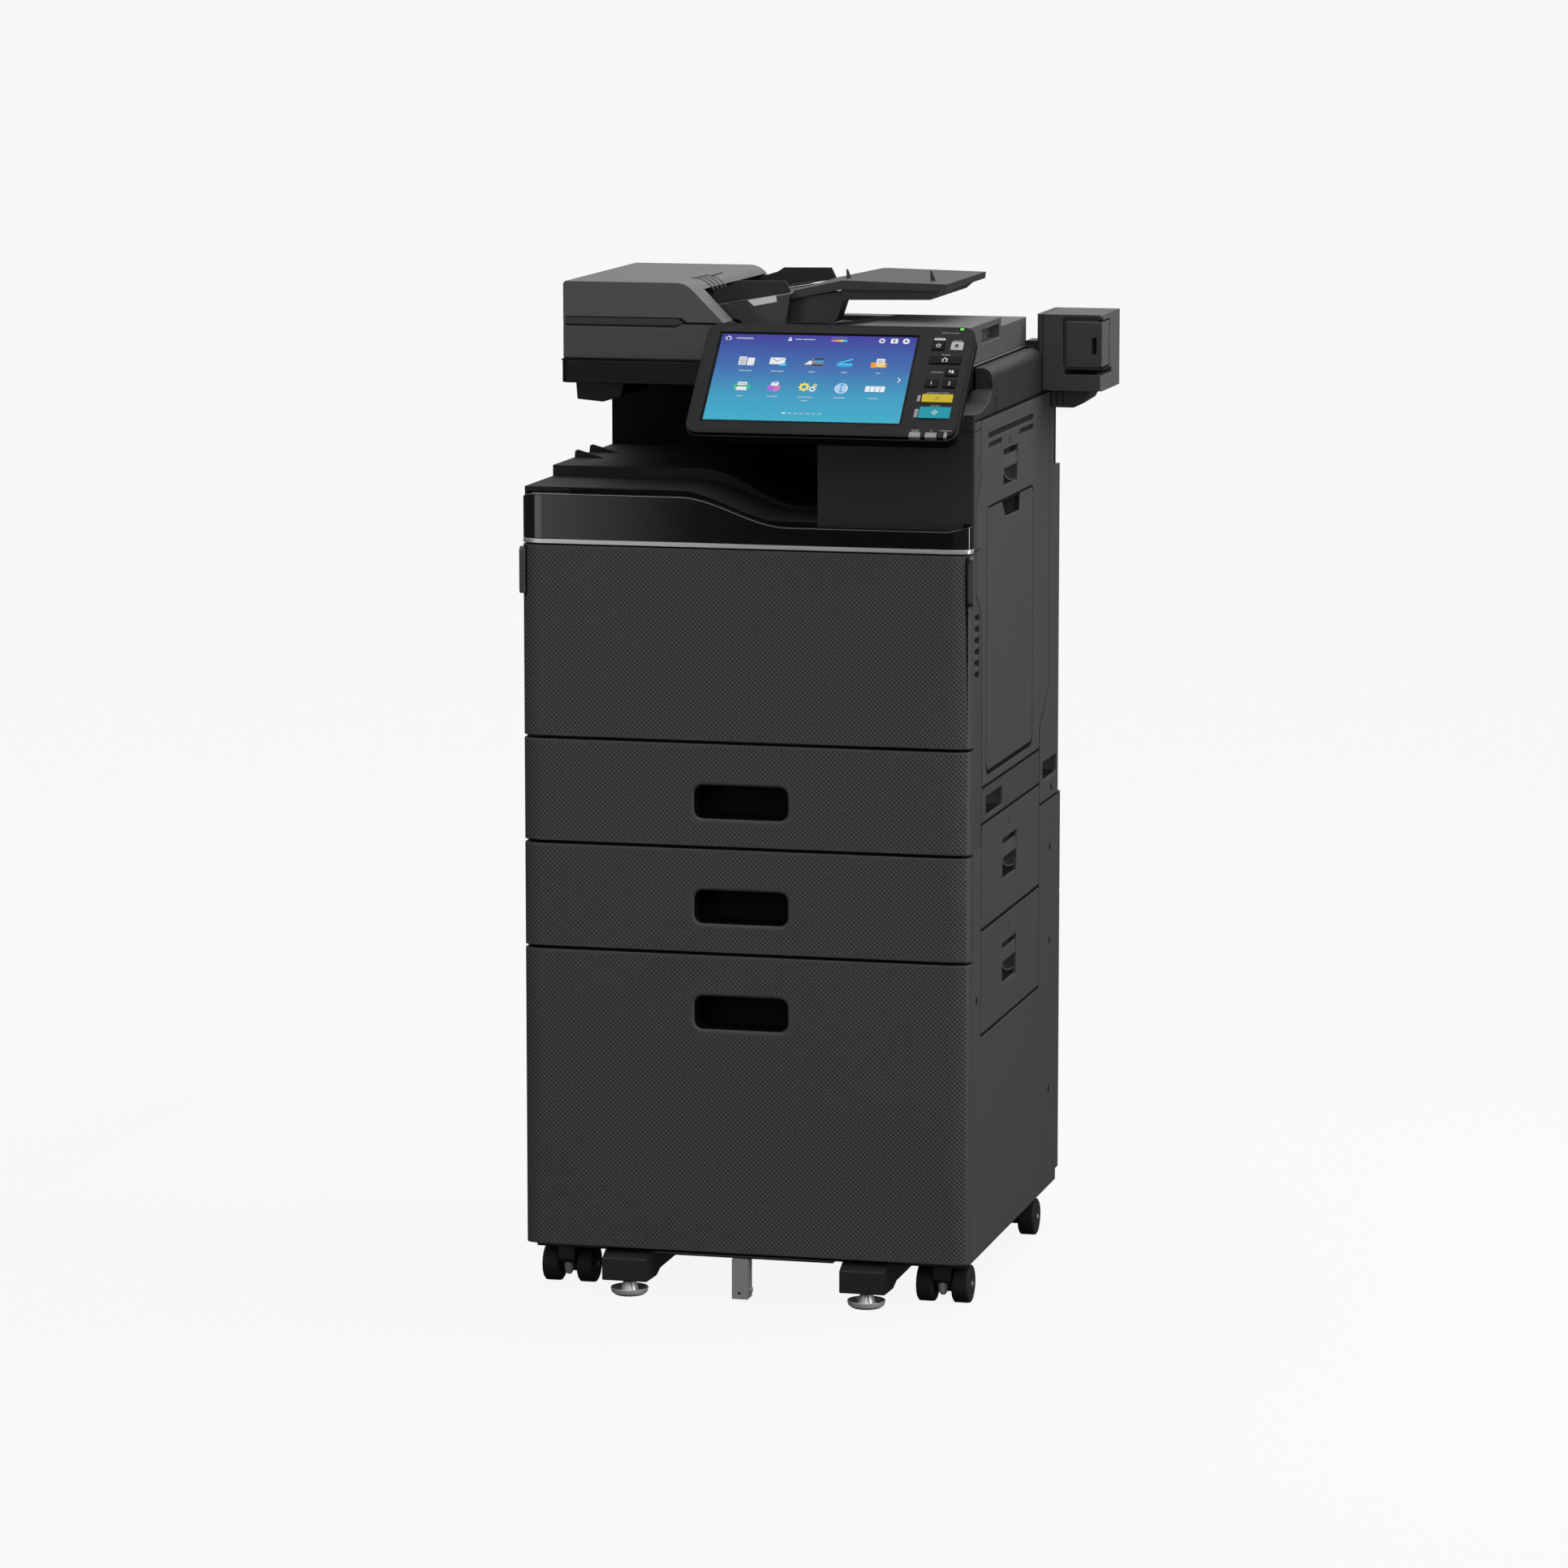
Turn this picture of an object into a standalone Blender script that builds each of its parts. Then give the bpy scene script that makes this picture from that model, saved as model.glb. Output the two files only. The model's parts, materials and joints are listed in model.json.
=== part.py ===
"""A floor-standing office photocopier: three paper drawers, a document feeder, a tilting touch panel,
a bypass tray and a side stapler, on casters and levelling feet.

Metres, +Z up. The machine is drawn with x = 0 at the middle of its front, y = 0 on the drawer fronts,
+Y to the rear and z = 0 on the floor. The "machine" empty then moves all of it so that the middle of
its footprint box is at the origin.
"""

from math import cos, pi, radians, sin

import bmesh
import bpy
from mathutils import Vector

# ---------------------------------------------------------------- driving dimensions
GAP = 0.0003                # clearance between pieces that touch
WALL = 0.004                # casing wall

BODY_X = 0.2925             # half the body's width
FRONT_DEPTH = 0.022         # thickness of the drawer fronts and the front cover
CORNER_X = 0.028            # the fronts' rounded corner, measured along x
CORNER_Y = 0.012            # and along y
SHELL_Y = 0.0235            # where the cabinets start, behind the fronts
REAR_Y = 0.5755             # back of the lower cabinets
ENGINE_REAR_Y = 0.5595      # back of the engine frame, in front of its rear cover
UPPER_REAR_Y = 0.5315       # back of the narrower part above the output bay floor
SIDE_X = 0.2785             # right face of the engine frame, behind the side covers

CABINET_Z = 0.0615          # underside of the lowest cabinet
MODULE_Z = 0.4563           # seam between the pedestal and the paper feed module
ENGINE_Z = 0.5923           # seam between the paper feed module and the engine
FRONT_SEAMS = (0.0615, 0.4525, 0.5894, 0.7247, 0.9730)
SEAM = 0.004                # gap between two fronts
FASCIA_Z = 0.9795           # underside of the glossy band
TRIM_Z = 0.9735             # underside of the silver strip
BAND_TOP_Z = (1.0360, 1.0007)   # top of the glossy band at its high left and its low right end
BAND_BACK_Y = 0.0185        # back of the glossy band
SIDE_TOP_Z = 1.1365         # top of the side door and of the columns beside it
TOWER_TOP_Z = 1.1685        # top of the tower that carries the scanner
BAY_X = 0.0905              # left face of the tower: the right wall of the output bay
BAY_REAR_Y = 0.438          # rear wall of the output bay
SCOOP_FLOOR_Z = 1.1470      # floor of the scoop in the tower's front right corner
SHOULDER_REAR_Y = 0.4385    # where the tower's rounded shoulder ends, in front of the stapler

HANDLE_X = (-0.066, 0.0566)
HANDLE_HEIGHT = 0.0424
HANDLE_RADIUS = 0.011
HANDLE_DEPTH = 0.046
HANDLE_BELOW_SEAM = 0.0550  # from the seam above a front down to its handle recess

SCANNER_X = 0.267
SCANNER_Z = (1.1700, 1.1985)
SCANNER_Y = (0.097, 0.530)
FEEDER_Y = (0.112, 0.457)
FEEDER_Z = (1.2005, 1.299)
FEEDER_SPLIT_Z = 1.2475

PANEL_TILT = radians(43.9)
SCREEN_CORNER = (-0.0272, 0.0012, 1.245)    # upper left corner of the lit area
SCREEN_SIZE = (0.2506, 0.1416)
PANEL_PIVOT_V, PANEL_PIVOT_W = -0.016, -0.033   # pivot in panel coordinates, behind the panel
PANEL_U = (-0.020, 0.324)
PANEL_V = (-0.1635, 0.0175)
PANEL_BACK = -0.020

# Each key: centre u, centre v, width, height in the panel's plane, and its colour.
KEYS = {
    "key_power": (0.2800, -0.0142, 0.0155, 0.0135, "key_black"),
    "key_energy_saver": (0.3036, -0.0142, 0.0155, 0.0135, "key_grey"),
    "key_home": (0.2920, -0.0374, 0.0395, 0.0125, "key_black"),
    "key_access": (0.3034, -0.0572, 0.0155, 0.0125, "key_black"),
    "key_one": (0.2808, -0.0762, 0.0155, 0.0125, "key_black"),
    "key_two": (0.3036, -0.0762, 0.0155, 0.0125, "key_black"),
    "key_clear": (0.2924, -0.1005, 0.0389, 0.0132, "key_yellow"),
    "key_start": (0.2927, -0.1240, 0.0398, 0.0185, "key_teal"),
}
KEY_TOP, KEY_BOTTOM, KEY_POCKET, KEY_CLEARANCE = 0.0012, -0.0035, -0.0058, 0.0004

CASTER_X = 0.249
CASTER_Y = {"front": (0.055, 0.070), "rear": (0.4985, 0.4835)}   # swivel axis, wheel axle
WHEEL_RADIUS = 0.025
FOOT_X = 0.157
RAIL_HALF = 0.030
PLATE_Z = (0.0535, 0.0612)
LIP_Z = 0.0575              # underside of the thin lip below the tall drawer front

COLOURS = {
    "front_charcoal": ((0.040, 0.044, 0.048), 0.62, 0.0),
    "cover_grey": ((0.050, 0.052, 0.054), 0.60, 0.0),
    "feeder_grey": ((0.075, 0.080, 0.085), 0.55, 0.0),
    "black_plastic": ((0.010, 0.010, 0.011), 0.50, 0.0),
    "gloss_black": ((0.006, 0.006, 0.007), 0.12, 0.0),
    "silver_trim": ((0.62, 0.63, 0.64), 0.30, 0.9),
    "panel_black": ((0.016, 0.016, 0.017), 0.55, 0.0),
    "screen": ((0.05, 0.20, 0.55), 0.20, 0.0),
    "key_black": ((0.008, 0.008, 0.009), 0.45, 0.0),
    "key_grey": ((0.45, 0.46, 0.48), 0.50, 0.0),
    "key_yellow": ((0.70, 0.60, 0.05), 0.50, 0.0),
    "key_teal": ((0.02, 0.42, 0.50), 0.50, 0.0),
    "glass": ((0.75, 0.85, 0.85), 0.05, 0.0),
    "steel": ((0.36, 0.36, 0.37), 0.35, 1.0),
    "chrome": ((0.70, 0.70, 0.72), 0.12, 1.0),
    "zinc_frame": ((0.42, 0.43, 0.44), 0.45, 1.0),
    "tray_grey": ((0.20, 0.21, 0.22), 0.60, 0.0),
    "rubber": ((0.015, 0.015, 0.015), 0.80, 0.0),
    "drum_blue": ((0.04, 0.16, 0.24), 0.20, 0.3),
    "toner_body": ((0.03, 0.03, 0.035), 0.55, 0.0),
}


# ---------------------------------------------------------------- modelling helpers
class Space:
    """An empty that pieces hang from, and where it stands in the coordinates that their meshes use."""

    def __init__(self, name, location, parent=None, rotation=(0.0, 0.0, 0.0), own_coordinates=False):
        self.empty = bpy.data.objects.new(name, None)
        self.empty.empty_display_size = 0.03
        bpy.context.scene.collection.objects.link(self.empty)
        place = Vector(location)
        if parent is not None:
            self.empty.parent = parent.empty
            self.empty.location = place - parent.origin
        else:
            self.empty.location = place
        self.empty.rotation_euler = rotation
        self.origin = Vector((0.0, 0.0, 0.0)) if own_coordinates or parent is None else place


def material(name):
    found = bpy.data.materials.get(name)
    if found:
        return found
    colour, roughness, metallic = COLOURS[name]
    made = bpy.data.materials.new(name)
    made.use_nodes = True
    made.diffuse_color = (*colour, 1.0)
    shader = made.node_tree.nodes["Principled BSDF"]
    shader.inputs["Base Color"].default_value = (*colour, 1.0)
    shader.inputs["Roughness"].default_value = roughness
    shader.inputs["Metallic"].default_value = metallic
    return made


def add_object(name, mesh, space):
    made = bpy.data.objects.new(name, mesh)
    bpy.context.scene.collection.objects.link(made)
    made.parent = space.empty
    made.location = -space.origin
    return made


def mesh_from(name, points, faces):
    mesh = bpy.data.meshes.new(name)
    mesh.from_pydata(points, [], faces)
    shape = bmesh.new()
    shape.from_mesh(mesh)
    bmesh.ops.recalc_face_normals(shape, faces=shape.faces)
    shape.to_mesh(mesh)
    shape.free()
    return mesh


def joined_mesh(name, shapes):
    """One mesh holding several closed shapes, each a (points, faces) pair."""
    points, faces = [], []
    for more_points, more_faces in shapes:
        start = len(points)
        points += more_points
        faces += [[start + i for i in face] for face in more_faces]
    return mesh_from(name, points, faces)


def prism(outline, axis, low, high):
    """A closed outline pushed along an axis. The outline is (y, z), (x, z) or (x, y) for axis x, y, z."""
    place = {
        "x": lambda a, b, c: (c, a, b),
        "y": lambda a, b, c: (a, c, b),
        "z": lambda a, b, c: (a, b, c),
    }[axis]
    count = len(outline)
    points = [place(a, b, low) for a, b in outline] + [place(a, b, high) for a, b in outline]
    faces = [list(range(count)), list(range(count, 2 * count))]
    for i in range(count):
        j = (i + 1) % count
        faces.append([i, j, count + j, count + i])
    return points, faces


def block(x, y, z):
    """A box from its low and high x, y and z."""
    return prism([(x[0], y[0]), (x[1], y[0]), (x[1], y[1]), (x[0], y[1])], "z", z[0], z[1])


def turned(profile, axis, centre, steps):
    """A profile of (distance along the axis, radius) points, turned about the axis; its ends lie on it."""
    place = {
        "x": lambda a, r, t: (a, r * cos(t), r * sin(t)),
        "y": lambda a, r, t: (r * sin(t), a, r * cos(t)),
        "z": lambda a, r, t: (r * cos(t), r * sin(t), a),
    }[axis]
    points, faces, rings = [], [], []
    for distance, radius in profile:
        if radius == 0:
            rings.append([len(points)] * steps)
            points.append(place(distance, 0.0, 0.0))
            continue
        rings.append(list(range(len(points), len(points) + steps)))
        points += [place(distance, radius, 2 * pi * i / steps) for i in range(steps)]
    for first, second in zip(rings, rings[1:]):
        for i in range(steps):
            j = (i + 1) % steps
            corners = [first[i], first[j], second[j], second[i]]
            faces.append(list(dict.fromkeys(corners)))
    return [tuple(Vector(point) + Vector(centre)) for point in points], faces


def arc(centre, radius, start, end, steps):
    """Points of an arc in a plane, ends included, with its angles in degrees."""
    turn = radians(end - start) / steps
    first = radians(start)
    return [
        (centre[0] + radius * cos(first + turn * i), centre[1] + radius * sin(first + turn * i))
        for i in range(steps + 1)
    ]


def rounded(low, high, radius, steps=4):
    """A rectangle with round corners, from its low and high corner."""
    (a0, b0), (a1, b1) = low, high
    centres = ((a1 - radius, b1 - radius), (a0 + radius, b1 - radius),
               (a0 + radius, b0 + radius), (a1 - radius, b0 + radius))
    outline = []
    for quarter, centre in enumerate(centres):
        outline += arc(centre, radius, 90 * quarter, 90 * quarter + 90, steps)
    return outline


def combine(made, operation, shapes, space):
    """Joins, cuts or intersects a piece with closed shapes, one exact Boolean for each."""
    for number, shape in enumerate(shapes):
        name = f"{made.name}_{operation.lower()}_{number}"
        tool = add_object(name, joined_mesh(name, [shape]), space)
        tool.hide_render = True
        tool.display_type = "WIRE"
        change = made.modifiers.new(name, "BOOLEAN")
        change.operation = operation
        change.solver = "EXACT"
        change.object = tool


def node(name, shapes, space, finish, cuts=(), adds=(), smooth=False):
    """A sub-part: closed shapes, with other shapes joined on and then cut away."""
    made = add_object(name, joined_mesh(name, shapes), space)
    made.data.materials.append(material(finish))
    combine(made, "UNION", adds, space)
    combine(made, "DIFFERENCE", cuts, space)
    if smooth:
        made.data.shade_smooth()
        made.data.set_sharp_from_angle(angle=radians(35))
    return made


# ---------------------------------------------------------------- outlines shared by several pieces
def front_plan(depth=FRONT_DEPTH, proud=0.0):
    """The fronts seen from above: a flat face whose two corners are quarter ellipses."""
    steps = 5
    corner = [
        (CORNER_X * sin(radians(90 * i / steps)), CORNER_Y * (1 - cos(radians(90 * i / steps))))
        for i in range(steps + 1)
    ]
    inner = BODY_X - CORNER_X
    right = [(inner + x, y - proud) for x, y in corner]
    left = [(-x, y) for x, y in reversed(right)]
    return left + right + [(BODY_X, depth), (-BODY_X, depth)]


def falling_bend(start, end, high, low, steps):
    """Points (x, z) of an S-bend that falls from high at start to low at end."""
    bend = []
    for i in range(steps + 1):
        t = i / steps
        bend.append((start + (end - start) * t, high + (low - high) * (t * t * (3 - 2 * t))))
    return bend


def band_top():
    """The top line of the glossy band from left to right: high, an S-bend down, low, then a raised tip."""
    high, low = BAND_TOP_Z
    bend = falling_bend(-0.085, 0.056, high, low, 10)
    return [(-BODY_X, high - 0.004), (-0.280, high)] + bend + [(0.264, low), (BODY_X, low + 0.008)]


SIDE_DOOR = [
    (0.0755, 0.6685), (0.4335, 0.6685), (0.4335, 0.6960), (0.4920, 0.7410), (0.4920, SIDE_TOP_Z),
    (0.0625, SIDE_TOP_Z), (0.0625, 1.0650), (0.0345, 1.0290), (0.0345, 0.9205), (0.0665, 0.8915),
]
FRONT_COLUMN = [
    (SHELL_Y, ENGINE_Z), (0.0705, ENGINE_Z), (0.0705, 0.6225), (0.4335, 0.6225), (0.4335, 0.6655),
    (0.0735, 0.6655), (0.0645, 0.8908), (0.0325, 0.9197), (0.0325, 1.0298), (0.0605, 1.0658),
    (0.0605, SIDE_TOP_Z), (SHELL_Y, SIDE_TOP_Z),
]
REAR_COLUMN = [
    (0.4370, ENGINE_Z), (ENGINE_REAR_Y, ENGINE_Z), (ENGINE_REAR_Y, 1.0350), (UPPER_REAR_Y, 1.0350),
    (UPPER_REAR_Y, 1.1280), (ENGINE_REAR_Y, 1.1310), (ENGINE_REAR_Y, SIDE_TOP_Z), (0.4940, SIDE_TOP_Z),
    (0.4940, 0.7402), (0.4370, 0.6955),
]


# ---------------------------------------------------------------- base
def build_base(space):
    plate = block((-0.285, 0.285), (0.030, 0.545), PLATE_Z)
    rails = []
    for side in (-1, 1):
        centre = side * FOOT_X
        profile = [(-0.010, 0.022), (0.040, 0.020), (0.060, 0.026), (0.520, 0.026), (0.520, 0.055),
                   (0.034, 0.055), (0.034, PLATE_Z[1]), (0.012, PLATE_Z[1]), (-0.010, 0.051)]
        rails.append(prism(profile, "x", centre - RAIL_HALF, centre + RAIL_HALF))
    lip = block((-0.120, 0.117), (0.0010, 0.034), (LIP_Z, PLATE_Z[1]))
    screw_holes = [
        turned([(0.0, 0), (0.0, 0.0064), (0.046, 0.0064), (0.046, 0)], "z", (side * FOOT_X, 0.016, 0.0), 12)
        for side in (-1, 1)
    ]
    stem_holes = [
        turned([(0.05, 0), (0.05, 0.0084), (0.0625, 0.0084), (0.0625, 0)], "z",
               (side * CASTER_X, CASTER_Y[end][0], 0.0), 12)
        for side in (-1, 1) for end in CASTER_Y
    ]
    node("base_frame", [plate], space, "black_plastic", adds=rails + [lip], cuts=screw_holes + stem_holes)
    bracket = block((-0.0160, 0.0050), (-0.003, 0.020), (0.005, LIP_Z - GAP))
    inside = block((-0.0130, 0.0020), (0.000, 0.030), (0.000, LIP_Z - 0.004))
    screw_hole = turned([(-0.01, 0), (-0.01, 0.0018), (0.010, 0.0018), (0.010, 0)], "y",
                        (-0.0062, 0.0, 0.0125), 12)
    node("stabiliser_bracket", [bracket], space, "steel", cuts=[inside, screw_hole])


def build_feet(machine):
    for name, side in (("left", -1), ("right", 1)):
        profile = [(0.0, 0), (0.0, 0.0190), (0.0035, 0.0235), (0.0092, 0.0247), (0.0096, 0.0238),
                   (0.0050, 0.0190), (0.0045, 0.0125), (0.0170, 0.0082), (0.0180, 0.0060),
                   (0.0440, 0.0060), (0.0440, 0)]
        pivot = Space(f"foot_{name}_axis", (side * FOOT_X, 0.016, 0.0), machine)
        node(f"levelling_foot_{name}", [turned(profile, "z", pivot.origin, 20)], pivot, "chrome", smooth=True)


def build_casters(machine):
    for end, (swivel_y, axle_y) in CASTER_Y.items():
        for name, side in (("left", -1), ("right", 1)):
            x = side * CASTER_X
            swivel = Space(f"caster_{end}_{name}_swivel", (x, swivel_y, 0.04), machine)
            toward = 1 if axle_y > swivel_y else -1
            outline = [(swivel_y - toward * 0.0120, 0.0520), (swivel_y + toward * 0.0260, 0.0520),
                       (axle_y + toward * 0.0150, 0.0330), (axle_y + toward * 0.0100, 0.0165),
                       (axle_y - toward * 0.0060, 0.0150), (swivel_y - toward * 0.0120, 0.0340)]
            hood = prism(outline, "x", x - 0.0112, x + 0.0112)
            stem = turned([(0.050, 0), (0.050, 0.008), (0.0605, 0.008), (0.0605, 0)], "z",
                          (x, swivel_y, 0.0), 12)
            bore = turned([(-0.02, 0), (-0.02, 0.0043), (0.02, 0.0043), (0.02, 0)], "x",
                          (x, axle_y, WHEEL_RADIUS), 12)
            node(f"caster_fork_{end}_{name}", [hood], swivel, "black_plastic", adds=[stem], cuts=[bore])
            axle = Space(f"caster_{end}_{name}_axle", (x, axle_y, WHEEL_RADIUS), swivel)
            half = [(0.0, 0.0036), (0.0117, 0.0036), (0.0117, 0.0222), (0.0140, 0.0250),
                    (0.0320, 0.0250), (0.0345, 0.0225), (0.0345, 0.0)]
            profile = [(-a, r) for a, r in reversed(half)] + half[1:]
            node(f"caster_wheels_{end}_{name}", [turned(profile, "x", axle.origin, 16)], axle, "rubber",
                 smooth=True)


# ---------------------------------------------------------------- cabinets
def cabinet_shell(low_z, high_z, inner_right):
    """The outer box and the drawer space, open at the front."""
    outer = block((-BODY_X, BODY_X), (SHELL_Y, REAR_Y), (low_z, high_z))
    space = block((-BODY_X + WALL, inner_right), (0.0, REAR_Y - 0.006), (low_z + WALL, high_z - WALL))
    return outer, space


def build_cabinets(space):
    door_y, recess_x = (0.0730, 0.4370), (0.2790, 0.30)
    outer, inside = cabinet_shell(CABINET_Z, MODULE_Z, 0.2750)
    node("pedestal_cabinet", [outer], space, "cover_grey", cuts=[
        inside,
        block((0.270, BODY_X - WALL), (0.060, 0.560), (CABINET_Z + WALL, 0.335)),
        block(recess_x, door_y, (0.3455, 0.47)),
        block((-0.30, 0.30), (REAR_Y - 0.0175, REAR_Y + 0.01), (0.05, 0.076)),
    ])
    outer, inside = cabinet_shell(MODULE_Z + GAP, ENGINE_Z - GAP, 0.2750)
    node("paper_feed_module", [outer], space, "cover_grey", cuts=[
        inside,
        block(recess_x, door_y, (0.44, 0.61)),
    ])


def build_engine_frame(space):
    outer = block((-BODY_X, SIDE_X), (SHELL_Y, ENGINE_REAR_Y), (ENGINE_Z, FASCIA_Z - GAP))
    drawer_space = block((-BODY_X + WALL, SIDE_X - WALL), (0.0, ENGINE_REAR_Y - WALL), (0.5960, 0.7215))
    engine_space = block((-BODY_X + WALL, SIDE_X - WALL), (0.0, ENGINE_REAR_Y - WALL), (0.7270, 0.9740))
    node("engine_frame", [outer], space, "cover_grey", cuts=[drawer_space, engine_space])


def build_tower(space):
    """The L-shaped tower round the output bay, which carries the scanner, open underneath."""
    low, top, floor = FASCIA_Z, TOWER_TOP_Z, SCOOP_FLOOR_Z
    outer_x, ceiling = BODY_X - 0.001, TOWER_TOP_Z - WALL
    right = block((BAY_X, SIDE_X), (0.0200, UPPER_REAR_Y), (low, top))
    rear = block((-BODY_X, BAY_X + 0.02), (BAY_REAR_Y, UPPER_REAR_Y), (low, top))
    shoulder = [(0.2750, 1.1385), (outer_x, 1.1385), (outer_x, 1.1780)]
    shoulder += arc((0.2790, 1.1845), 0.0125, 0, 90, 4) + [(0.2695, 1.1970), (0.2695, 1.1600)]
    front_edge = block((0.2780, outer_x), (0.0200, 0.0228), (1.0095, 1.1400))
    sill = block((0.2750, outer_x), (0.0230, 0.0330), (1.1385, floor))
    scoop = [(0.0, floor), (0.0680, floor), (0.1180, floor + 0.0090), (0.1300, floor + 0.0230),
             (0.1300, 1.25), (0.0, 1.25)]
    hollow = [
        block((BAY_X + WALL, SIDE_X - WALL), (0.0240, UPPER_REAR_Y - WALL), (low - 0.01, floor - WALL)),
        block((BAY_X + WALL, SIDE_X - WALL), (0.1380, UPPER_REAR_Y - WALL), (low - 0.01, ceiling)),
        block((-BODY_X + WALL, BAY_X + 0.01), (BAY_REAR_Y + WALL, UPPER_REAR_Y - WALL),
              (low - 0.01, ceiling)),
        block((BAY_X - 0.01, BAY_X + 0.01), (0.0800, 0.3900), (1.0700, 1.0860)),
        prism(scoop, "x", 0.2260, 0.30),
    ]
    node("tower_cover", [right], space, "black_plastic", cuts=hollow,
         adds=[rear, prism(shoulder, "y", 0.0300, SHOULDER_REAR_Y), front_edge, sill])


def build_rear_cover(space):
    profile = [(ENGINE_REAR_Y + GAP, ENGINE_Z), (REAR_Y, ENGINE_Z), (REAR_Y, 1.0350),
               (UPPER_REAR_Y + GAP, 1.0350), (UPPER_REAR_Y + GAP, 1.0290), (ENGINE_REAR_Y + GAP, 1.0290)]
    inlet = prism(rounded((-0.2150, 0.6350), (-0.1870, 0.6560), 0.003, 2), "y", REAR_Y - 0.012, 0.60)
    slots = [
        block((0.060, 0.220), (REAR_Y - 0.006, 0.60), (0.880 + 0.014 * i, 0.886 + 0.014 * i))
        for i in range(6)
    ]
    node("rear_cover", [prism(profile, "x", -BODY_X, SIDE_X)], space, "cover_grey", cuts=[inlet] + slots)


def build_side_columns(space):
    """The two fixed columns at the right, in front of and behind the side door."""
    seat = SIDE_X + GAP
    louvres = [
        block((BODY_X - 0.006, 0.31), (0.0300, 0.0545), (0.8120 + 0.0145 * i, 0.8200 + 0.0145 * i))
        for i in range(6)
    ]
    grip = block((SIDE_X, 0.31), (0.0990, 0.1990), (0.6275, 0.6535))
    seam = block((BODY_X - 0.002, 0.31), (0.0705, 0.0720), (0.6100, 0.6660))
    top_seam = block((BODY_X - 0.002, 0.31), (0.0, 0.0600), (0.9745, 0.9760))
    node("right_front_cover", [prism(FRONT_COLUMN, "x", seat, BODY_X)], space, "cover_grey",
         cuts=louvres + [grip, seam, top_seam])
    rear_grip = block((SIDE_X, 0.31), (0.4560, 0.5480), (0.6200, 0.6460))
    node("right_rear_cover", [prism(REAR_COLUMN, "x", seat, BODY_X)], space, "cover_grey", cuts=[rear_grip])


# ---------------------------------------------------------------- fronts and drawers
def handle_recess(seam_z, depth=HANDLE_DEPTH, margin=0.0):
    top = seam_z - HANDLE_BELOW_SEAM + margin
    outline = rounded((HANDLE_X[0] - margin, top - HANDLE_HEIGHT - 2 * margin),
                      (HANDLE_X[1] + margin, top), HANDLE_RADIUS)
    return outline, depth


def drawer_front(name, low_seam, high_seam, space):
    panel = prism(front_plan(), "z", low_seam + SEAM / 2, high_seam - SEAM / 2)
    cup, depth = handle_recess(high_seam, HANDLE_DEPTH + 0.003, 0.003)
    pocket, pocket_depth = handle_recess(high_seam)
    node(name, [panel], space, "front_charcoal", adds=[prism(cup, "y", 0.010, depth)],
         cuts=[prism(pocket, "y", -0.01, pocket_depth)])


def drawer_tray(name, half_width, low_z, high_z, length, seam_z, space, wall=0.003):
    outer = block((-half_width, half_width), (FRONT_DEPTH + GAP, length), (low_z, high_z))
    inside = block((-half_width + wall, half_width - wall),
                   (FRONT_DEPTH + GAP + wall, length - wall), (low_z + wall, high_z + 0.01))
    cup, depth = handle_recess(seam_z, HANDLE_DEPTH + 0.004, 0.004)
    node(name, [outer], space, "tray_grey", cuts=[inside, prism(cup, "y", 0.0, depth)])


def build_drawers(machine):
    upper = Space("upper_drawer_slide", (0.0, 0.0, 0.66), machine)
    drawer_front("upper_drawer_front", FRONT_SEAMS[2], FRONT_SEAMS[3], upper)
    drawer_tray("upper_drawer_tray", 0.245, 0.6000, 0.7050, 0.500, FRONT_SEAMS[3], upper)
    lower = Space("lower_drawer_slide", (0.0, 0.0, 0.52), machine)
    drawer_front("lower_drawer_front", FRONT_SEAMS[1], FRONT_SEAMS[2], lower)
    drawer_tray("lower_drawer_tray", 0.245, 0.4640, 0.5690, 0.500, FRONT_SEAMS[2], lower)
    feeder = Space("feeder_drawer_slide", (0.0, 0.0, 0.25), machine)
    drawer_front("feeder_drawer_front", FRONT_SEAMS[0], FRONT_SEAMS[1], feeder)
    drawer_tray("feeder_drawer_bin", 0.255, 0.0800, 0.4300, 0.520, FRONT_SEAMS[1], feeder)
    lift = Space("lift_plate_slide", (0.0, 0.0, 0.09), feeder)
    node("lift_plate", [block((-0.2480, 0.2480), (0.0540, 0.5130), (0.0850, 0.0880))], lift, "zinc_frame",
         cuts=[block((-0.030, 0.030), (0.030, 0.180), (0.07, 0.10))])


def build_front_cover(machine):
    low, high = FRONT_SEAMS[3] + SEAM / 2, FRONT_SEAMS[4] - 0.0015
    pivot = Space("front_cover_hinge", (0.0, 0.003, 0.7285), machine)
    grips = [
        prism(rounded((0.0020, 0.9080), (0.0180, 0.9680), 0.005, 2), "x",
              min(side * 0.288, side * 0.298), max(side * 0.288, side * 0.298))
        for side in (-1, 1)
    ]
    node("front_cover", [prism(front_plan(), "z", low, high)], pivot, "front_charcoal", adds=grips,
         cuts=[block((-0.272, 0.272), (0.006, 0.03), (low + 0.010, high - 0.010))])


def build_fascia(space):
    """The glossy band over the front cover and the silver strip under it."""
    outline = [(BODY_X, FASCIA_Z), (-BODY_X, FASCIA_Z)] + band_top()
    band = node("gloss_fascia", [prism(outline, "y", -0.01, BAND_BACK_Y)], space, "gloss_black")
    combine(band, "INTERSECT", [prism(front_plan(BAND_BACK_Y), "z", 0.95, 1.10)], space)
    node("silver_trim", [prism(front_plan(proud=0.0006), "z", TRIM_Z, FASCIA_Z - GAP)], space,
         "silver_trim")


def deck_outline(high, low, thickness):
    """A deck seen from the front: high at the left, an S-bend down, and low as far as the tower."""
    top = [(-BODY_X, high)] + falling_bend(-0.090, 0.040, high, low, 8) + [(BAY_X - GAP, low)]
    return top + [(x, z - thickness) for x, z in reversed(top)]


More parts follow.
